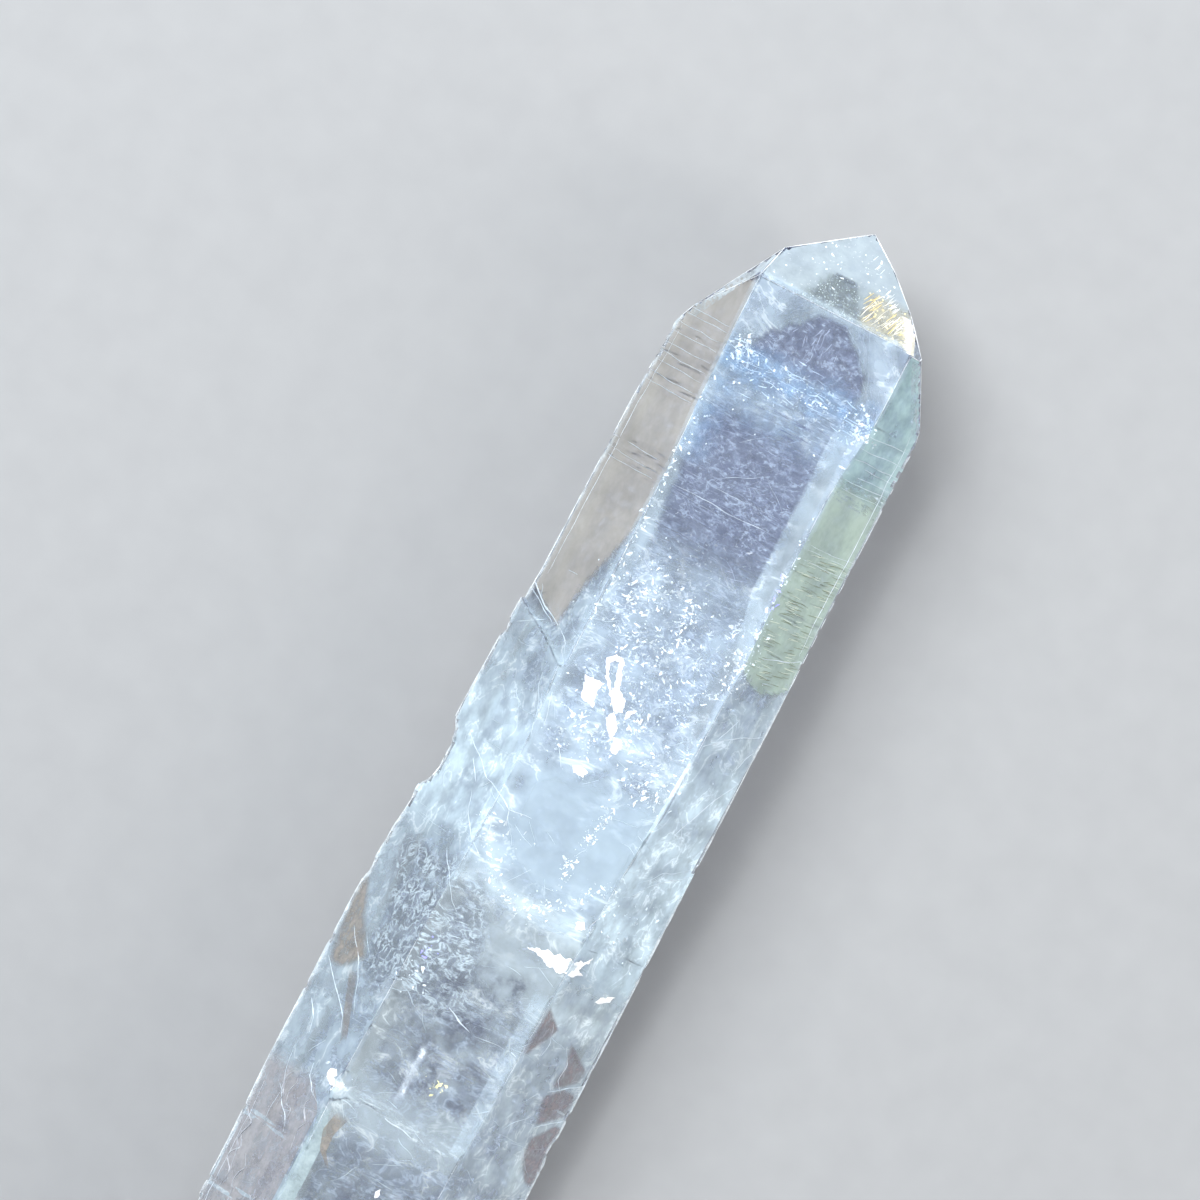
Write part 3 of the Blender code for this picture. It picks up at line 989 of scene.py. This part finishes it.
def add_back_films():
    """Etched films just under the back faces and under the back of the point. The middle one's dark ground is
    painted dark, standing in for a dark background seen through the stone; its pale veins are etching.
    """
    # Painted dark ground with etched pale veins.
    frost = veined("back_veins_and_painted_dark", (0.18, 0.20, 0.33), (0.70, 0.80, 1.0), 0.72, 1.8, 0.09, 0.9, 0.36)
    back_sheet("back_film", (236.0, 301.0), (7.0, 115.0), 0.25, 0.9, frost, 150, 12, soft=0.04)
    pale = film("side_frost", (0.55, 0.62, 0.80), (0.80, 0.88, 0.98), 0.55)
    back_sheet("right_back_film", (303.0, 337.0), (7.0, 115.0), 0.25, 0.9, pale, 120, 8)
    back_sheet("left_back_film", (201.0, 234.0), (10.0, 115.0), 0.25, 0.8, pale, 120, 8)
    back_sheet("point_back_film", (212.0, 328.0), (0.8, 7.2), 0.2, 0.8, pale, 24, 24)


# Clusters of glints: middle across and down, spread across and down, and the number of flakes.
CLUSTERS = (
    (-5.3, 13.6, 0.6, 0.45, 180),
    (6.3, 15.2, 0.6, 0.9, 180),
    (-1.0, 14.6, 3.2, 0.6, 60),
    (0.4, 16.2, 3.0, 0.3, 36),
    (-3.9, 35.2, 1.6, 0.6, 132),
    (-4.0, 36.9, 0.7, 0.5, 60),
    (0.5, 35.4, 0.9, 1.0, 72),
    (-1.2, 38.6, 2.4, 1.5, 156),
    (6.2, 37.4, 0.7, 1.3, 108),
    (1.6, 43.0, 2.8, 2.4, 204),
    (4.3, 50.0, 1.2, 0.8, 180),
    (3.6, 47.8, 1.8, 0.3, 72),
    (0.6, 46.5, 1.0, 1.3, 84),
    (-2.6, 48.2, 1.4, 1.2, 132),
    (2.2, 53.6, 0.32, 0.8, 66),
    (1.9, 55.5, 0.3, 0.7, 54),
    (1.4, 58.6, 0.28, 0.9, 54),
    (8.6, 61.0, 1.2, 1.6, 96),
    (-5.4, 59.2, 1.3, 1.2, 72),
    (-7.9, 82.9, 0.5, 0.4, 24),
    (-6.3, 24.0, 0.2, 3.5, 84),
    (-6.1, 33.0, 0.25, 4.0, 108),
    (6.4, 29.0, 0.2, 3.0, 72),
    (6.7, 36.0, 0.3, 2.4, 84),
    (-2.5, 33.0, 1.5, 1.2, 72),
    (-6.0, 72.5, 0.6, 0.8, 26),
    (0.2, 2.6, 2.0, 1.6, 36),
)
BOWL_FLAKES = 230

# How far the flakes on the surface and those inside the stone tilt, in degrees.
SURFACE_TILT = 7.0
DEEP_TILT = 50.0


def glint_places():
    """Where the glints are, as (across, down): in the clusters, and along the rim of the bowl."""
    dice = random.Random(5)
    for across, down, wide, tall, count in CLUSTERS:
        for _ in range(count):
            yield dice.gauss(across, wide), dice.gauss(down, tall)
    for _ in range(BOWL_FLAKES):
        share = dice.random()
        rim = bowl_rim(share * 1.15)
        yield -6.0 + 12.0 * share + dice.gauss(0.0, 0.2), rim + dice.gauss(0.0, 0.45)


def add_glints():
    """Glinting flakes on the surface."""
    places = list(glint_places())
    waiting = iter(places)

    def choose(dice):
        return on_top(*next(waiting), FLAKE_LIFT)

    white = flake_material("flake_white", (0.82, 0.92, 1.0), dimmest=0.46)
    flakes("glints", len(places), choose, (0.05, 0.36), SURFACE_TILT, white, 6)


def flake_patch(name, count, across, down, wide, tall, sizes, material, seed):
    """A patch of flakes that crowd round one place on the surface."""

    def choose(dice):
        return on_top(dice.gauss(across, wide), dice.gauss(down, tall), FLAKE_LIFT)

    flakes(name, count, choose, sizes, SURFACE_TILT, material, seed)


def add_coloured_glints():
    """A few golden flakes at the lower middle, and violet ones at both long edges."""
    gold = flake_material("flake_gold", (0.90, 0.86, 0.45))
    flake_patch("gold_glints", 26, 0.1, 79.5, 0.35, 0.3, (0.06, 0.4), gold, 9)
    violet = flake_material("flake_violet", (0.38, 0.38, 0.95))
    flake_patch("violet_glints_left", 14, -5.8, 70.0, 0.25, 0.6, (0.08, 0.4), violet, 12)
    flake_patch("violet_glints_right", 14, 6.5, 31.0, 0.25, 0.6, (0.08, 0.4), violet, 13)


def add_deep_flakes():
    """Bright flakes inside the stone: a patchy cloud under the sparkling stretch, and some in the band."""
    deep = flake_material("flake_deep", (0.93, 0.97, 1.0), metallic=0.3)

    def speckle(dice):
        down = 28.0 + 24.0 * dice.random() ** 0.75
        across = dice.gauss(-0.8, 3.2)
        near = smooth_noise(Vector((across * 0.55, down * 0.45, 1.3)))
        if near < -0.05 or abs(across) > 6.4:
            return None
        return buried(across, down, dice.uniform(1.0, 10.0))

    def band(dice):
        return buried(dice.uniform(-6.6, 7.0), dice.gauss(14.4, 0.9), dice.uniform(1.5, 9.0))

    flakes("deep_speckle", 1500, speckle, (0.05, 0.36), DEEP_TILT, deep, 7)
    flakes("deep_band", 300, band, (0.06, 0.40), DEEP_TILT, deep, 4)


# The large white plates, each as its (across, down) corners.
PLATES = (
    ((-4.6, 43.7), (-2.9, 43.6), (-3.2, 44.5), (-2.9, 45.8), (-4.1, 45.5)),
    ((-3.7, 41.6), (-3.1, 41.0), (-2.3, 41.2), (-2.2, 41.5), (-3.0, 41.5), (-3.3, 41.9)),
    ((-2.3, 41.2), (-1.9, 42.4), (-1.6, 43.4), (-2.0, 43.6), (-2.4, 42.4), (-2.6, 41.6)),
    ((-3.7, 41.6), (-3.3, 41.9), (-3.1, 42.6), (-2.5, 43.2), (-2.2, 44.0), (-3.1, 43.0)),
    ((-2.0, 43.6), (-1.6, 43.4), (-0.7, 44.1), (-0.5, 45.1), (-1.2, 45.3), (-2.2, 44.0)),
    ((-0.7, 45.8), (-0.2, 46.5), (-0.3, 47.5), (-0.9, 46.9), (-1.5, 46.1), (-1.2, 45.3)),
    ((-0.2, 44.8), (0.5, 44.5), (0.2, 45.2), (-0.1, 45.5)),
    ((-0.2, 47.2), (0.4, 47.1), (0.8, 47.7), (0.6, 48.4), (0.1, 48.5)),
    ((-2.2, 50.8), (-1.5, 50.5), (-0.7, 50.8), (-1.0, 51.3), (-1.8, 51.3)),
    (
        (1.4, 65.9), (2.0, 65.8), (2.2, 65.6), (2.7, 65.6), (3.1, 65.3),
        (3.7, 65.5), (3.6, 66.6), (3.1, 66.2), (2.3, 66.0),
    ),
    ((3.7, 65.5), (4.1, 65.2), (4.6, 65.4), (5.1, 65.1), (5.1, 66.4), (4.8, 66.7), (4.1, 66.5), (3.6, 66.6)),
    (
        (5.1, 65.1), (5.5, 65.3), (5.8, 64.9), (6.1, 65.0), (6.2, 65.3),
        (6.0, 65.7), (6.0, 66.2), (5.8, 66.5), (5.1, 66.4),
    ),
    ((6.1, 65.0), (6.7, 64.3), (6.5, 64.9), (6.2, 65.3)),
    ((6.0, 65.7), (6.5, 66.0), (6.0, 66.2)),
    ((-8.5, 82.5), (-7.9, 82.1), (-7.6, 82.9), (-6.8, 82.9), (-7.0, 83.4), (-7.8, 83.5), (-8.4, 83.2)),
    ((4.1, 62.2), (4.7, 61.9), (5.0, 62.5), (4.3, 62.8)),
    ((8.4, 67.6), (9.0, 67.0), (9.9, 66.5), (9.7, 67.1), (8.9, 67.6)),
    ((-0.5, 89.8), (-0.2, 89.3), (0.0, 89.9), (-0.3, 90.2)),
)
PLATE_RISE = 0.08


def ragged(corners):
    """The rim of a plate through its corners, strayed a little so that it looks broken."""
    for across, down in walk(corners + corners[:1], lambda length: max(1, round(length / PLATE_SPACING))):
        stray = 0.11 * ripple(across, down, 0.22, 33.0)
        yield across + stray, down + 0.11 * ripple(across, down, 0.22, 35.0)


def add_plates():
    """The large white plates on the front face, each with a broken rim and a slightly raised middle."""
    bm = bmesh.new()
    for corners in PLATES:
        rim = [on_top(across, down, FLAKE_LIFT) for across, down in ragged(corners)]
        rim = [bm.verts.new(point) for point in rim if point is not None]
        middle = sum((vertex.co for vertex in rim), Vector()) / len(rim)
        middle = bm.verts.new(middle + Vector((0.0, 0.0, PLATE_RISE * MM)))
        for first, second in zip(rim, rim[1:] + rim[:1]):
            bm.faces.new((middle, first, second))
    finish_object("bright_plates", bm, flake_material("flake_large", (0.98, 0.99, 1.0), roughness=0.4))


# ---- fine lines, and edges with wear and painted highlight


# Hairline fractures: radius, then (across, down) corners.
FRACTURES = (
    (0.08, (-11.0, 52.4), (-9.1, 54.0), (-7.9, 55.1), (-6.5, 55.7), (-5.0, 56.4), (-2.9, 56.3)),
    (0.06, (-7.5, 55.1), (-8.0, 56.1)),
    (0.06, (-5.2, 56.3), (-5.0, 57.1), (-4.6, 58.0)),
    (0.05, (-11.3, 55.3), (-11.2, 56.5), (-10.8, 57.7)),
    (0.04, (-9.8, 54.2), (-8.9, 55.3), (-8.4, 56.0)),
    (0.05, (-8.6, 56.5), (-8.0, 58.4), (-7.0, 59.8), (-5.2, 61.4)),
    (0.05, (-6.2, 57.8), (-5.8, 58.8), (-5.5, 59.8)),
    (0.10, (-12.0, 38.8), (-10.3, 40.1), (-8.3, 41.2)),
    (0.06, (-11.9, 39.2), (-10.1, 40.4), (-8.8, 41.3)),
    (0.04, (-8.3, 41.2), (-7.3, 42.2), (-6.8, 43.2)),
    (0.04, (-11.8, 42.4), (-10.8, 41.8), (-9.3, 40.9)),
    (0.04, (-6.5, 46.1), (-6.1, 47.6), (-5.6, 49.3)),
    (0.04, (-4.1, 49.7), (-3.5, 50.5), (-2.7, 51.7)),
    (0.03, (-7.9, 45.1), (-7.0, 47.6), (-6.2, 50.5)),
    (0.07, (10.8, 34.5), (9.3, 35.3), (7.3, 35.8)),
    (0.06, (10.9, 41.6), (9.3, 42.4), (7.9, 43.2), (6.6, 44.7)),
    (0.05, (10.9, 46.0), (9.7, 47.9), (8.5, 50.7), (7.6, 53.4)),
    (0.04, (7.1, 49.8), (8.3, 51.3), (9.3, 53.4)),
    (0.06, (10.9, 54.6), (9.3, 55.9), (7.6, 57.5), (6.3, 59.0)),
    (0.04, (10.9, 54.0), (8.9, 55.3), (7.0, 57.3)),
    (0.04, (8.4, 41.2), (7.9, 42.7), (7.3, 43.9)),
    (0.03, (10.8, 43.1), (10.0, 45.4)),
    (0.03, (1.2, 22.2), (-0.7, 23.3), (-2.6, 24.5)),
    (0.03, (1.2, 22.2), (2.8, 23.5), (4.2, 24.8)),
    (0.025, (-5.1, 24.8), (-0.4, 25.0), (4.1, 24.8)),
    (0.03, (-5.5, 26.2), (0.0, 26.4), (4.3, 26.2)),
    (0.02, (-5.0, 26.7), (0.8, 26.9)),
    (0.025, (-6.0, 18.9), (-3.3, 19.2)),
    (0.02, (-2.1, 20.7), (0.4, 18.9)),
    (0.02, (1.7, 25.8), (4.1, 27.3)),
    (0.07, (-2.0, 73.3), (-0.8, 73.9), (0.7, 74.5)),
    (0.03, (0.7, 74.5), (2.1, 74.4), (4.0, 74.3)),
    (0.05, (4.1, 74.3), (5.0, 74.5)),
    (0.07, (-9.9, 82.8), (-9.7, 83.8), (-9.1, 84.9), (-7.8, 85.5)),
    (0.07, (-2.5, 83.9), (-1.5, 84.0), (0.4, 84.4)),
    (0.06, (10.8, 77.7), (9.6, 78.7), (8.5, 79.5)),
    (0.05, (10.8, 74.5), (9.3, 75.5), (8.3, 76.2)),
    (0.05, (8.3, 71.9), (8.8, 73.3), (8.9, 74.9), (9.8, 76.0)),
    (0.05, (-9.9, 80.6), (-10.5, 81.6), (-10.8, 82.4)),
    (0.05, (-13.0, 74.5), (-11.2, 76.2), (-9.5, 78.2), (-9.1, 79.5)),
    (0.05, (-12.4, 70.8), (-10.3, 73.7), (-8.7, 77.8)),
    (0.06, (-11.6, 85.7), (-10.1, 87.6), (-9.3, 89.3)),
    (0.04, (-12.0, 82.8), (-11.3, 86.1), (-11.3, 89.4)),
    (0.05, (-12.6, 78.2), (-11.6, 79.5), (-11.3, 81.1)),
    (0.05, (8.7, 81.1), (9.8, 82.8), (10.6, 83.5)),
    (0.04, (6.2, 70.4), (6.8, 72.2), (6.5, 73.7)),
    (0.04, (-8.3, 61.7), (-5.8, 65.4), (-5.0, 66.2)),
)

# How far down the white rungs cross the left face and the right face.
LEFT_RUNGS = (12.4, 13.0, 14.0, 14.8, 15.9, 16.8, 17.6, 18.7, 19.5, 24.9, 25.9, 26.6)
RIGHT_RUNGS = (15.2, 16.4, 17.4, 17.9, 18.7, 19.3, 20.1, 25.4, 25.9, 26.8)


def add_white_lines():
    """Hairline fractures all over, and the white rungs that cross the side faces near the point."""
    white = line_material("line_white", (0.62, 0.70, 0.77))
    surface_lines("fractures", FRACTURES, white)
    rungs = [(0.035, (-12.4, down - 0.25), (-9.5, down), (-6.9, down + 0.15)) for down in LEFT_RUNGS]
    rungs += [(0.03, (7.0, down + 0.1), (9.0, down), (11.6, down - 0.2)) for down in RIGHT_RUNGS]
    surface_lines("ladder_lines", rungs, white, stray=0.08)


def add_dark_lines(dice):
    """Dark lines across the top of the window."""
    draw = dice.uniform
    lines = []
    for _ in range(26):
        lines.append(stroke(draw(-2.6, 3.6), draw(16.2, 18.6), 0.025, draw(0.5, 2.2), draw(-0.1, 0.1)))
    surface_lines("dark_cross_lines", lines, line_material("line_slate", (0.10, 0.11, 0.20)), stray=0.06)


def add_window_scratches(dice):
    """Violet scratches in the window, and steeper ones in the arch."""
    draw = dice.uniform
    lines = []
    for _ in range(80):
        across, down = draw(-5.6, 3.4), draw(18.5, 33.0)
        slope = dice.choice((-0.9, -0.2, 0.0, 0.0, 0.1, 0.8))
        length = draw(0.5, 2.2)
        lines.append(stroke(across, down, draw(0.01, 0.028), length, slope * length))
    for _ in range(22):
        across, down = dice.gauss(-0.2, 1.1), draw(8.6, 12.0)
        lines.append(stroke(across, down, draw(0.03, 0.07), dice.gauss(0.0, 0.3), draw(0.4, 1.6)))
    surface_lines("window_scratches", lines, line_material("line_violet", (0.42, 0.48, 0.62)), stray=0.1)


def add_hair_scratches(dice):
    """Hair-thin pale scratches all over the lower two thirds."""
    draw = dice.uniform
    lines = []
    for _ in range(170):
        across, down = draw(-12.5, 9.5), draw(36.0, 100.0)
        slope = dice.choice((-1.2, -0.4, -0.1, 0.1, 0.5, 1.6))
        length = draw(0.5, 3.0) / math.hypot(1.0, slope)
        lines.append(stroke(across, down, draw(0.01, 0.03), length, slope * length))
    surface_lines("hair_scratches", lines, line_material("line_hair", (0.55, 0.65, 0.72)), stray=0.2)


def add_band_lines(dice):
    """Pale blue lines across the blue band."""
    draw = dice.uniform
    lines = []
    for _ in range(54):
        across, down = draw(-6.6, 5.6), dice.gauss(14.6, 0.9)
        lines.append(stroke(across, down, draw(0.015, 0.04), draw(0.5, 2.0), dice.gauss(0.0, 0.2)))
    surface_lines("band_lines", lines, line_material("line_sky", (0.70, 0.84, 1.0)), stray=0.14)


def add_hatch(dice):
    """The close hatch of dark and pale lines on the green face."""
    draw = dice.uniform
    olive = line_material("line_olive", (0.16, 0.18, 0.10))
    pale = line_material("line_pale", (0.66, 0.72, 0.60))
    for name, material in (("hatch_dark", olive), ("hatch_pale", pale)):
        lines = []
        for _ in range(120):
            across = draw(6.8, 10.4)
            down = draw(26.0, 37.8 - 0.2 * (across - 8.8) ** 2)
            lines.append(stroke(across, down, 0.03, draw(0.3, 1.4), -draw(0.0, 0.3)))
        surface_lines(name, lines, material, stray=0.08)


# The painted highlight rims along the outline as seen from above: name, side, where it starts and width. The
# lines
# inside them: side, start and end.
HIGHLIGHT_RIMS = (("left_rim_highlight", -1, 13.2, 0.4), ("right_rim_highlight", 1, 13.4, 0.36))
RIM_END = 114.0
INNER_RIMS = ((-1, 14.0, 38.6), (1, 13.5, 35.0), (-1, 86.0, 112.0))
INNER_RIM_INSET = 0.62


def highlight_rim(name, side, top, width, frost):
    """A painted highlight rim down one side's outline as seen from above, a little fuller lower down."""
    downs = [top + OUTLINE_SPACING * n for n in range(int((RIM_END - top) / OUTLINE_SPACING))]
    rim = [(down, outline(down, side)) for down in downs]
    inner = [(down, across - side * width) for down, across in rim]
    left, right = (rim, inner) if side < 0 else (inner, rim)

    def share(across, down):
        rim_variation = 0.8 + 0.5 * ripple(across, down, 1.5, side)
        lower = 0.45 + 0.15 * step(down, 36.0, 44.0)
        return step(abs(across - along(rim, down)), width, 0.3 * width) * rim_variation * lower

    pane(name, left, right, share, frost, BAND_LIFT)


def add_rims():
    """A bright painted highlight rim, frosted in look, down each side's outline."""
    # The frost film here is painted highlight along the outline.
    frost = veined("rim_highlight", (0.80, 0.90, 0.95), (0.95, 1.0, 1.0), 0.62, 0.9, 0.15, 0.95)
    for rim in HIGHLIGHT_RIMS:
        highlight_rim(*rim, frost)


def add_inner_rims():
    """A second pale line just inside the highlight rims, painted highlight too."""
    bm = bmesh.new()
    for side, top, bottom in INNER_RIMS:
        downs = [top + INNER_RIM_SPACING * n for n in range(int((bottom - top) / INNER_RIM_SPACING) + 1)]
        corners = [(outline(down, side) - side * INNER_RIM_INSET, down) for down in downs]
        surface_line(bm, corners, radius=0.035, stray=0.02, seed=3.0)
    finish_object("inner_rims", bm, line_material("rim_white", (0.85, 0.92, 1.0)))


# Rims of wear and painted edge highlight: their radius and how much it varies, the shortest and the bluntest
# edge that has one, and how far down the edges that run across have one. Those that lie near the front face's
# height are thinner.
RADIUS_OF_WEAR_AND_HIGHLIGHT = 0.045
VARIATION_OF_WEAR_AND_HIGHLIGHT = 0.03
SHORTEST_WITH_WEAR_AND_HIGHLIGHT = 0.5
BLUNTEST_WITH_WEAR_AND_HIGHLIGHT_DEGREES = 25.0
CROSSWISE_WEAR_AND_HIGHLIGHT_END = 13.0
NEAR_FRONT = 1.2
FRONT_WEAR_AND_HIGHLIGHT_UPPER = 0.55
FRONT_WEAR_AND_HIGHLIGHT_LOWER = 0.3
FRONT_WEAR_AND_HIGHLIGHT_PARTS = 34.0


def radius_of_wear_and_highlight(edge):
    """How thick the rim of wear and painted highlight on an edge is, or 0 for an edge that is short, blunt or
    a groove's.
    """
    if len(edge.link_faces) != 2 or edge.calc_length() < SHORTEST_WITH_WEAR_AND_HIGHLIGHT * MM:
        return 0.0
    first, last = edge.verts[0].co, edge.verts[1].co
    down = (POINT.y - max(first.y, last.y)) / MM
    lengthwise = abs((last - first).normalized().y) > 0.9
    blunt = edge.calc_face_angle(0.0) < math.radians(BLUNTEST_WITH_WEAR_AND_HIGHLIGHT_DEGREES)
    if blunt or (not lengthwise and down > CROSSWISE_WEAR_AND_HIGHLIGHT_END):
        return 0.0
    radius = RADIUS_OF_WEAR_AND_HIGHLIGHT + VARIATION_OF_WEAR_AND_HIGHLIGHT * smooth_noise(first * 400.0)
    if min(first.z, last.z) > (FRONT_HEIGHT - NEAR_FRONT) * MM:
        radius *= FRONT_WEAR_AND_HIGHLIGHT_UPPER if down < FRONT_WEAR_AND_HIGHLIGHT_PARTS else FRONT_WEAR_AND_HIGHLIGHT_LOWER
    return radius


def add_wear_and_highlight_rims():
    """Thin white rims along the crystal's sharp edges, partly real wear and partly painted edge highlight,
    thinner on those near the front face's height.
    """
    source = welded_cad()
    bm = bmesh.new()
    for edge in source.edges:
        radius = radius_of_wear_and_highlight(edge)
        if radius > 0.0:
            first, last = edge.verts[0].co, edge.verts[1].co
            steps = max(2, int(edge.calc_length() / (LINE_SPACING * MM)))
            tube(bm, [first.lerp(last, n / steps) for n in range(steps + 1)], radius, sides=4)
    source.free()
    # The white rims are partly real wear and partly painted edge highlight.
    finish_object("edge_wear_and_highlight", bm, flake_material("edge_white", (0.95, 0.97, 1.0), roughness=0.45))


# ---- floor, light and camera


def lay_floor():
    """A plain floor just under the crystal."""
    bpy.ops.mesh.primitive_plane_add(size=FLOOR_SIZE * MM, location=(0.0, 0.0, -FLOOR_GAP * MM))
    floor = bpy.context.object
    floor.name = "floor"
    floor.data.materials.append(floor_material())


def soft_light(name, place, size, power, colour):
    """An area light aimed at the crystal: its place and size in metres, and its power in watts."""
    lamp = bpy.data.lights.new(name, "AREA")
    lamp.shape = "RECTANGLE"
    lamp.size, lamp.size_y = size
    lamp.energy = power
    lamp.color = colour
    holder = new_object(name, lamp)
    holder.location = place
    holder.rotation_euler = (-Vector(place)).to_track_quat("-Z", "Y").to_euler()


def light_the_scene():
    """A soft key light from the upper left, weaker ones from the right and the point, and an even sky."""
    soft_light("key", (-0.30, 0.25, 0.50), (0.40, 0.40), 7.0, (0.95, 0.98, 1.0))
    soft_light("right", (0.55, 0.05, 0.30), (0.30, 0.40), 2.4, (1.0, 0.97, 0.92))
    soft_light("tip", (0.20, 0.60, 0.30), (0.40, 0.30), 1.2, (0.95, 0.98, 1.0))
    world = bpy.data.worlds.new("studio")
    world.use_nodes = True
    sky = world.node_tree.nodes["Background"]
    sky.inputs["Color"].default_value = (0.86, 0.91, 1.0, 1.0)
    sky.inputs["Strength"].default_value = 0.6
    bpy.context.scene.world = world


def place_camera():
    """Look straight down, turned so that the crystal leans as it does in the picture."""
    millimetres = FRAME_WIDTH / IMAGE_PIXELS
    right = (POINT_PIXEL[0] - IMAGE_PIXELS / 2) * millimetres
    up = (IMAGE_PIXELS / 2 - POINT_PIXEL[1]) * millimetres
    turn = Matrix.Rotation(math.radians(LEAN_DEGREES), 3, "Z")
    offset = turn @ Vector((right, up, 0.0)) * MM
    lens = bpy.data.cameras.new("camera")
    lens.sensor_width = SENSOR_WIDTH
    lens.lens = SENSOR_WIDTH * CAMERA_DISTANCE / FRAME_WIDTH
    lens.clip_start = 0.01
    lens.clip_end = 20.0
    holder = new_object("camera", lens)
    height = (FRONT_HEIGHT + CAMERA_DISTANCE) * MM
    holder.location = Vector((POINT.x - offset.x, POINT.y - offset.y, height))
    holder.rotation_euler = turn.to_euler()
    bpy.context.scene.camera = holder


def set_light_paths():
    """Enough bounces for light to cross the stone and its veils, and a plain film response."""
    cycles = bpy.context.scene.cycles
    cycles.max_bounces = 9
    cycles.transmission_bounces = 9
    cycles.glossy_bounces = 5
    cycles.diffuse_bounces = 3
    cycles.transparent_max_bounces = 16
    cycles.sample_clamp_indirect = 20.0
    cycles.use_light_tree = False
    bpy.context.scene.view_settings.view_transform = "Standard"


crystal_body()

front_milk = veined("milk_skin", (0.62, 0.765, 0.87), (0.84, 0.94, 1.0), 0.36, 3.4, 0.06, 0.60)
add_front_milk(front_milk)
add_calm_veils()
add_edge_veils(front_milk)
add_pale_strips(front_milk)
add_painted_window_dark()
add_crackle()
add_blue_band()

add_milk_and_sheen_on_point()
add_point_dark()
add_point_highlight()
streak_dice = random.Random(31)
add_corner_streaks(streak_dice)
add_slope_streaks(streak_dice)
add_point_facets()

add_tan_face()
add_green_face()
add_side_milk()

add_marbled_crack()
add_low_dark_patches()
add_pale_tail()
add_mauve_panes()
add_brown_panes()
add_rose_face()
add_bevel()

add_back_films()
add_glints()
add_coloured_glints()
add_deep_flakes()
add_plates()

add_white_lines()
line_dice = random.Random(24)
add_dark_lines(line_dice)
add_window_scratches(line_dice)
add_hair_scratches(line_dice)
add_band_lines(line_dice)
add_hatch(line_dice)
add_rims()
add_inner_rims()
add_wear_and_highlight_rims()

lay_floor()
light_the_scene()
place_camera()
set_light_paths()
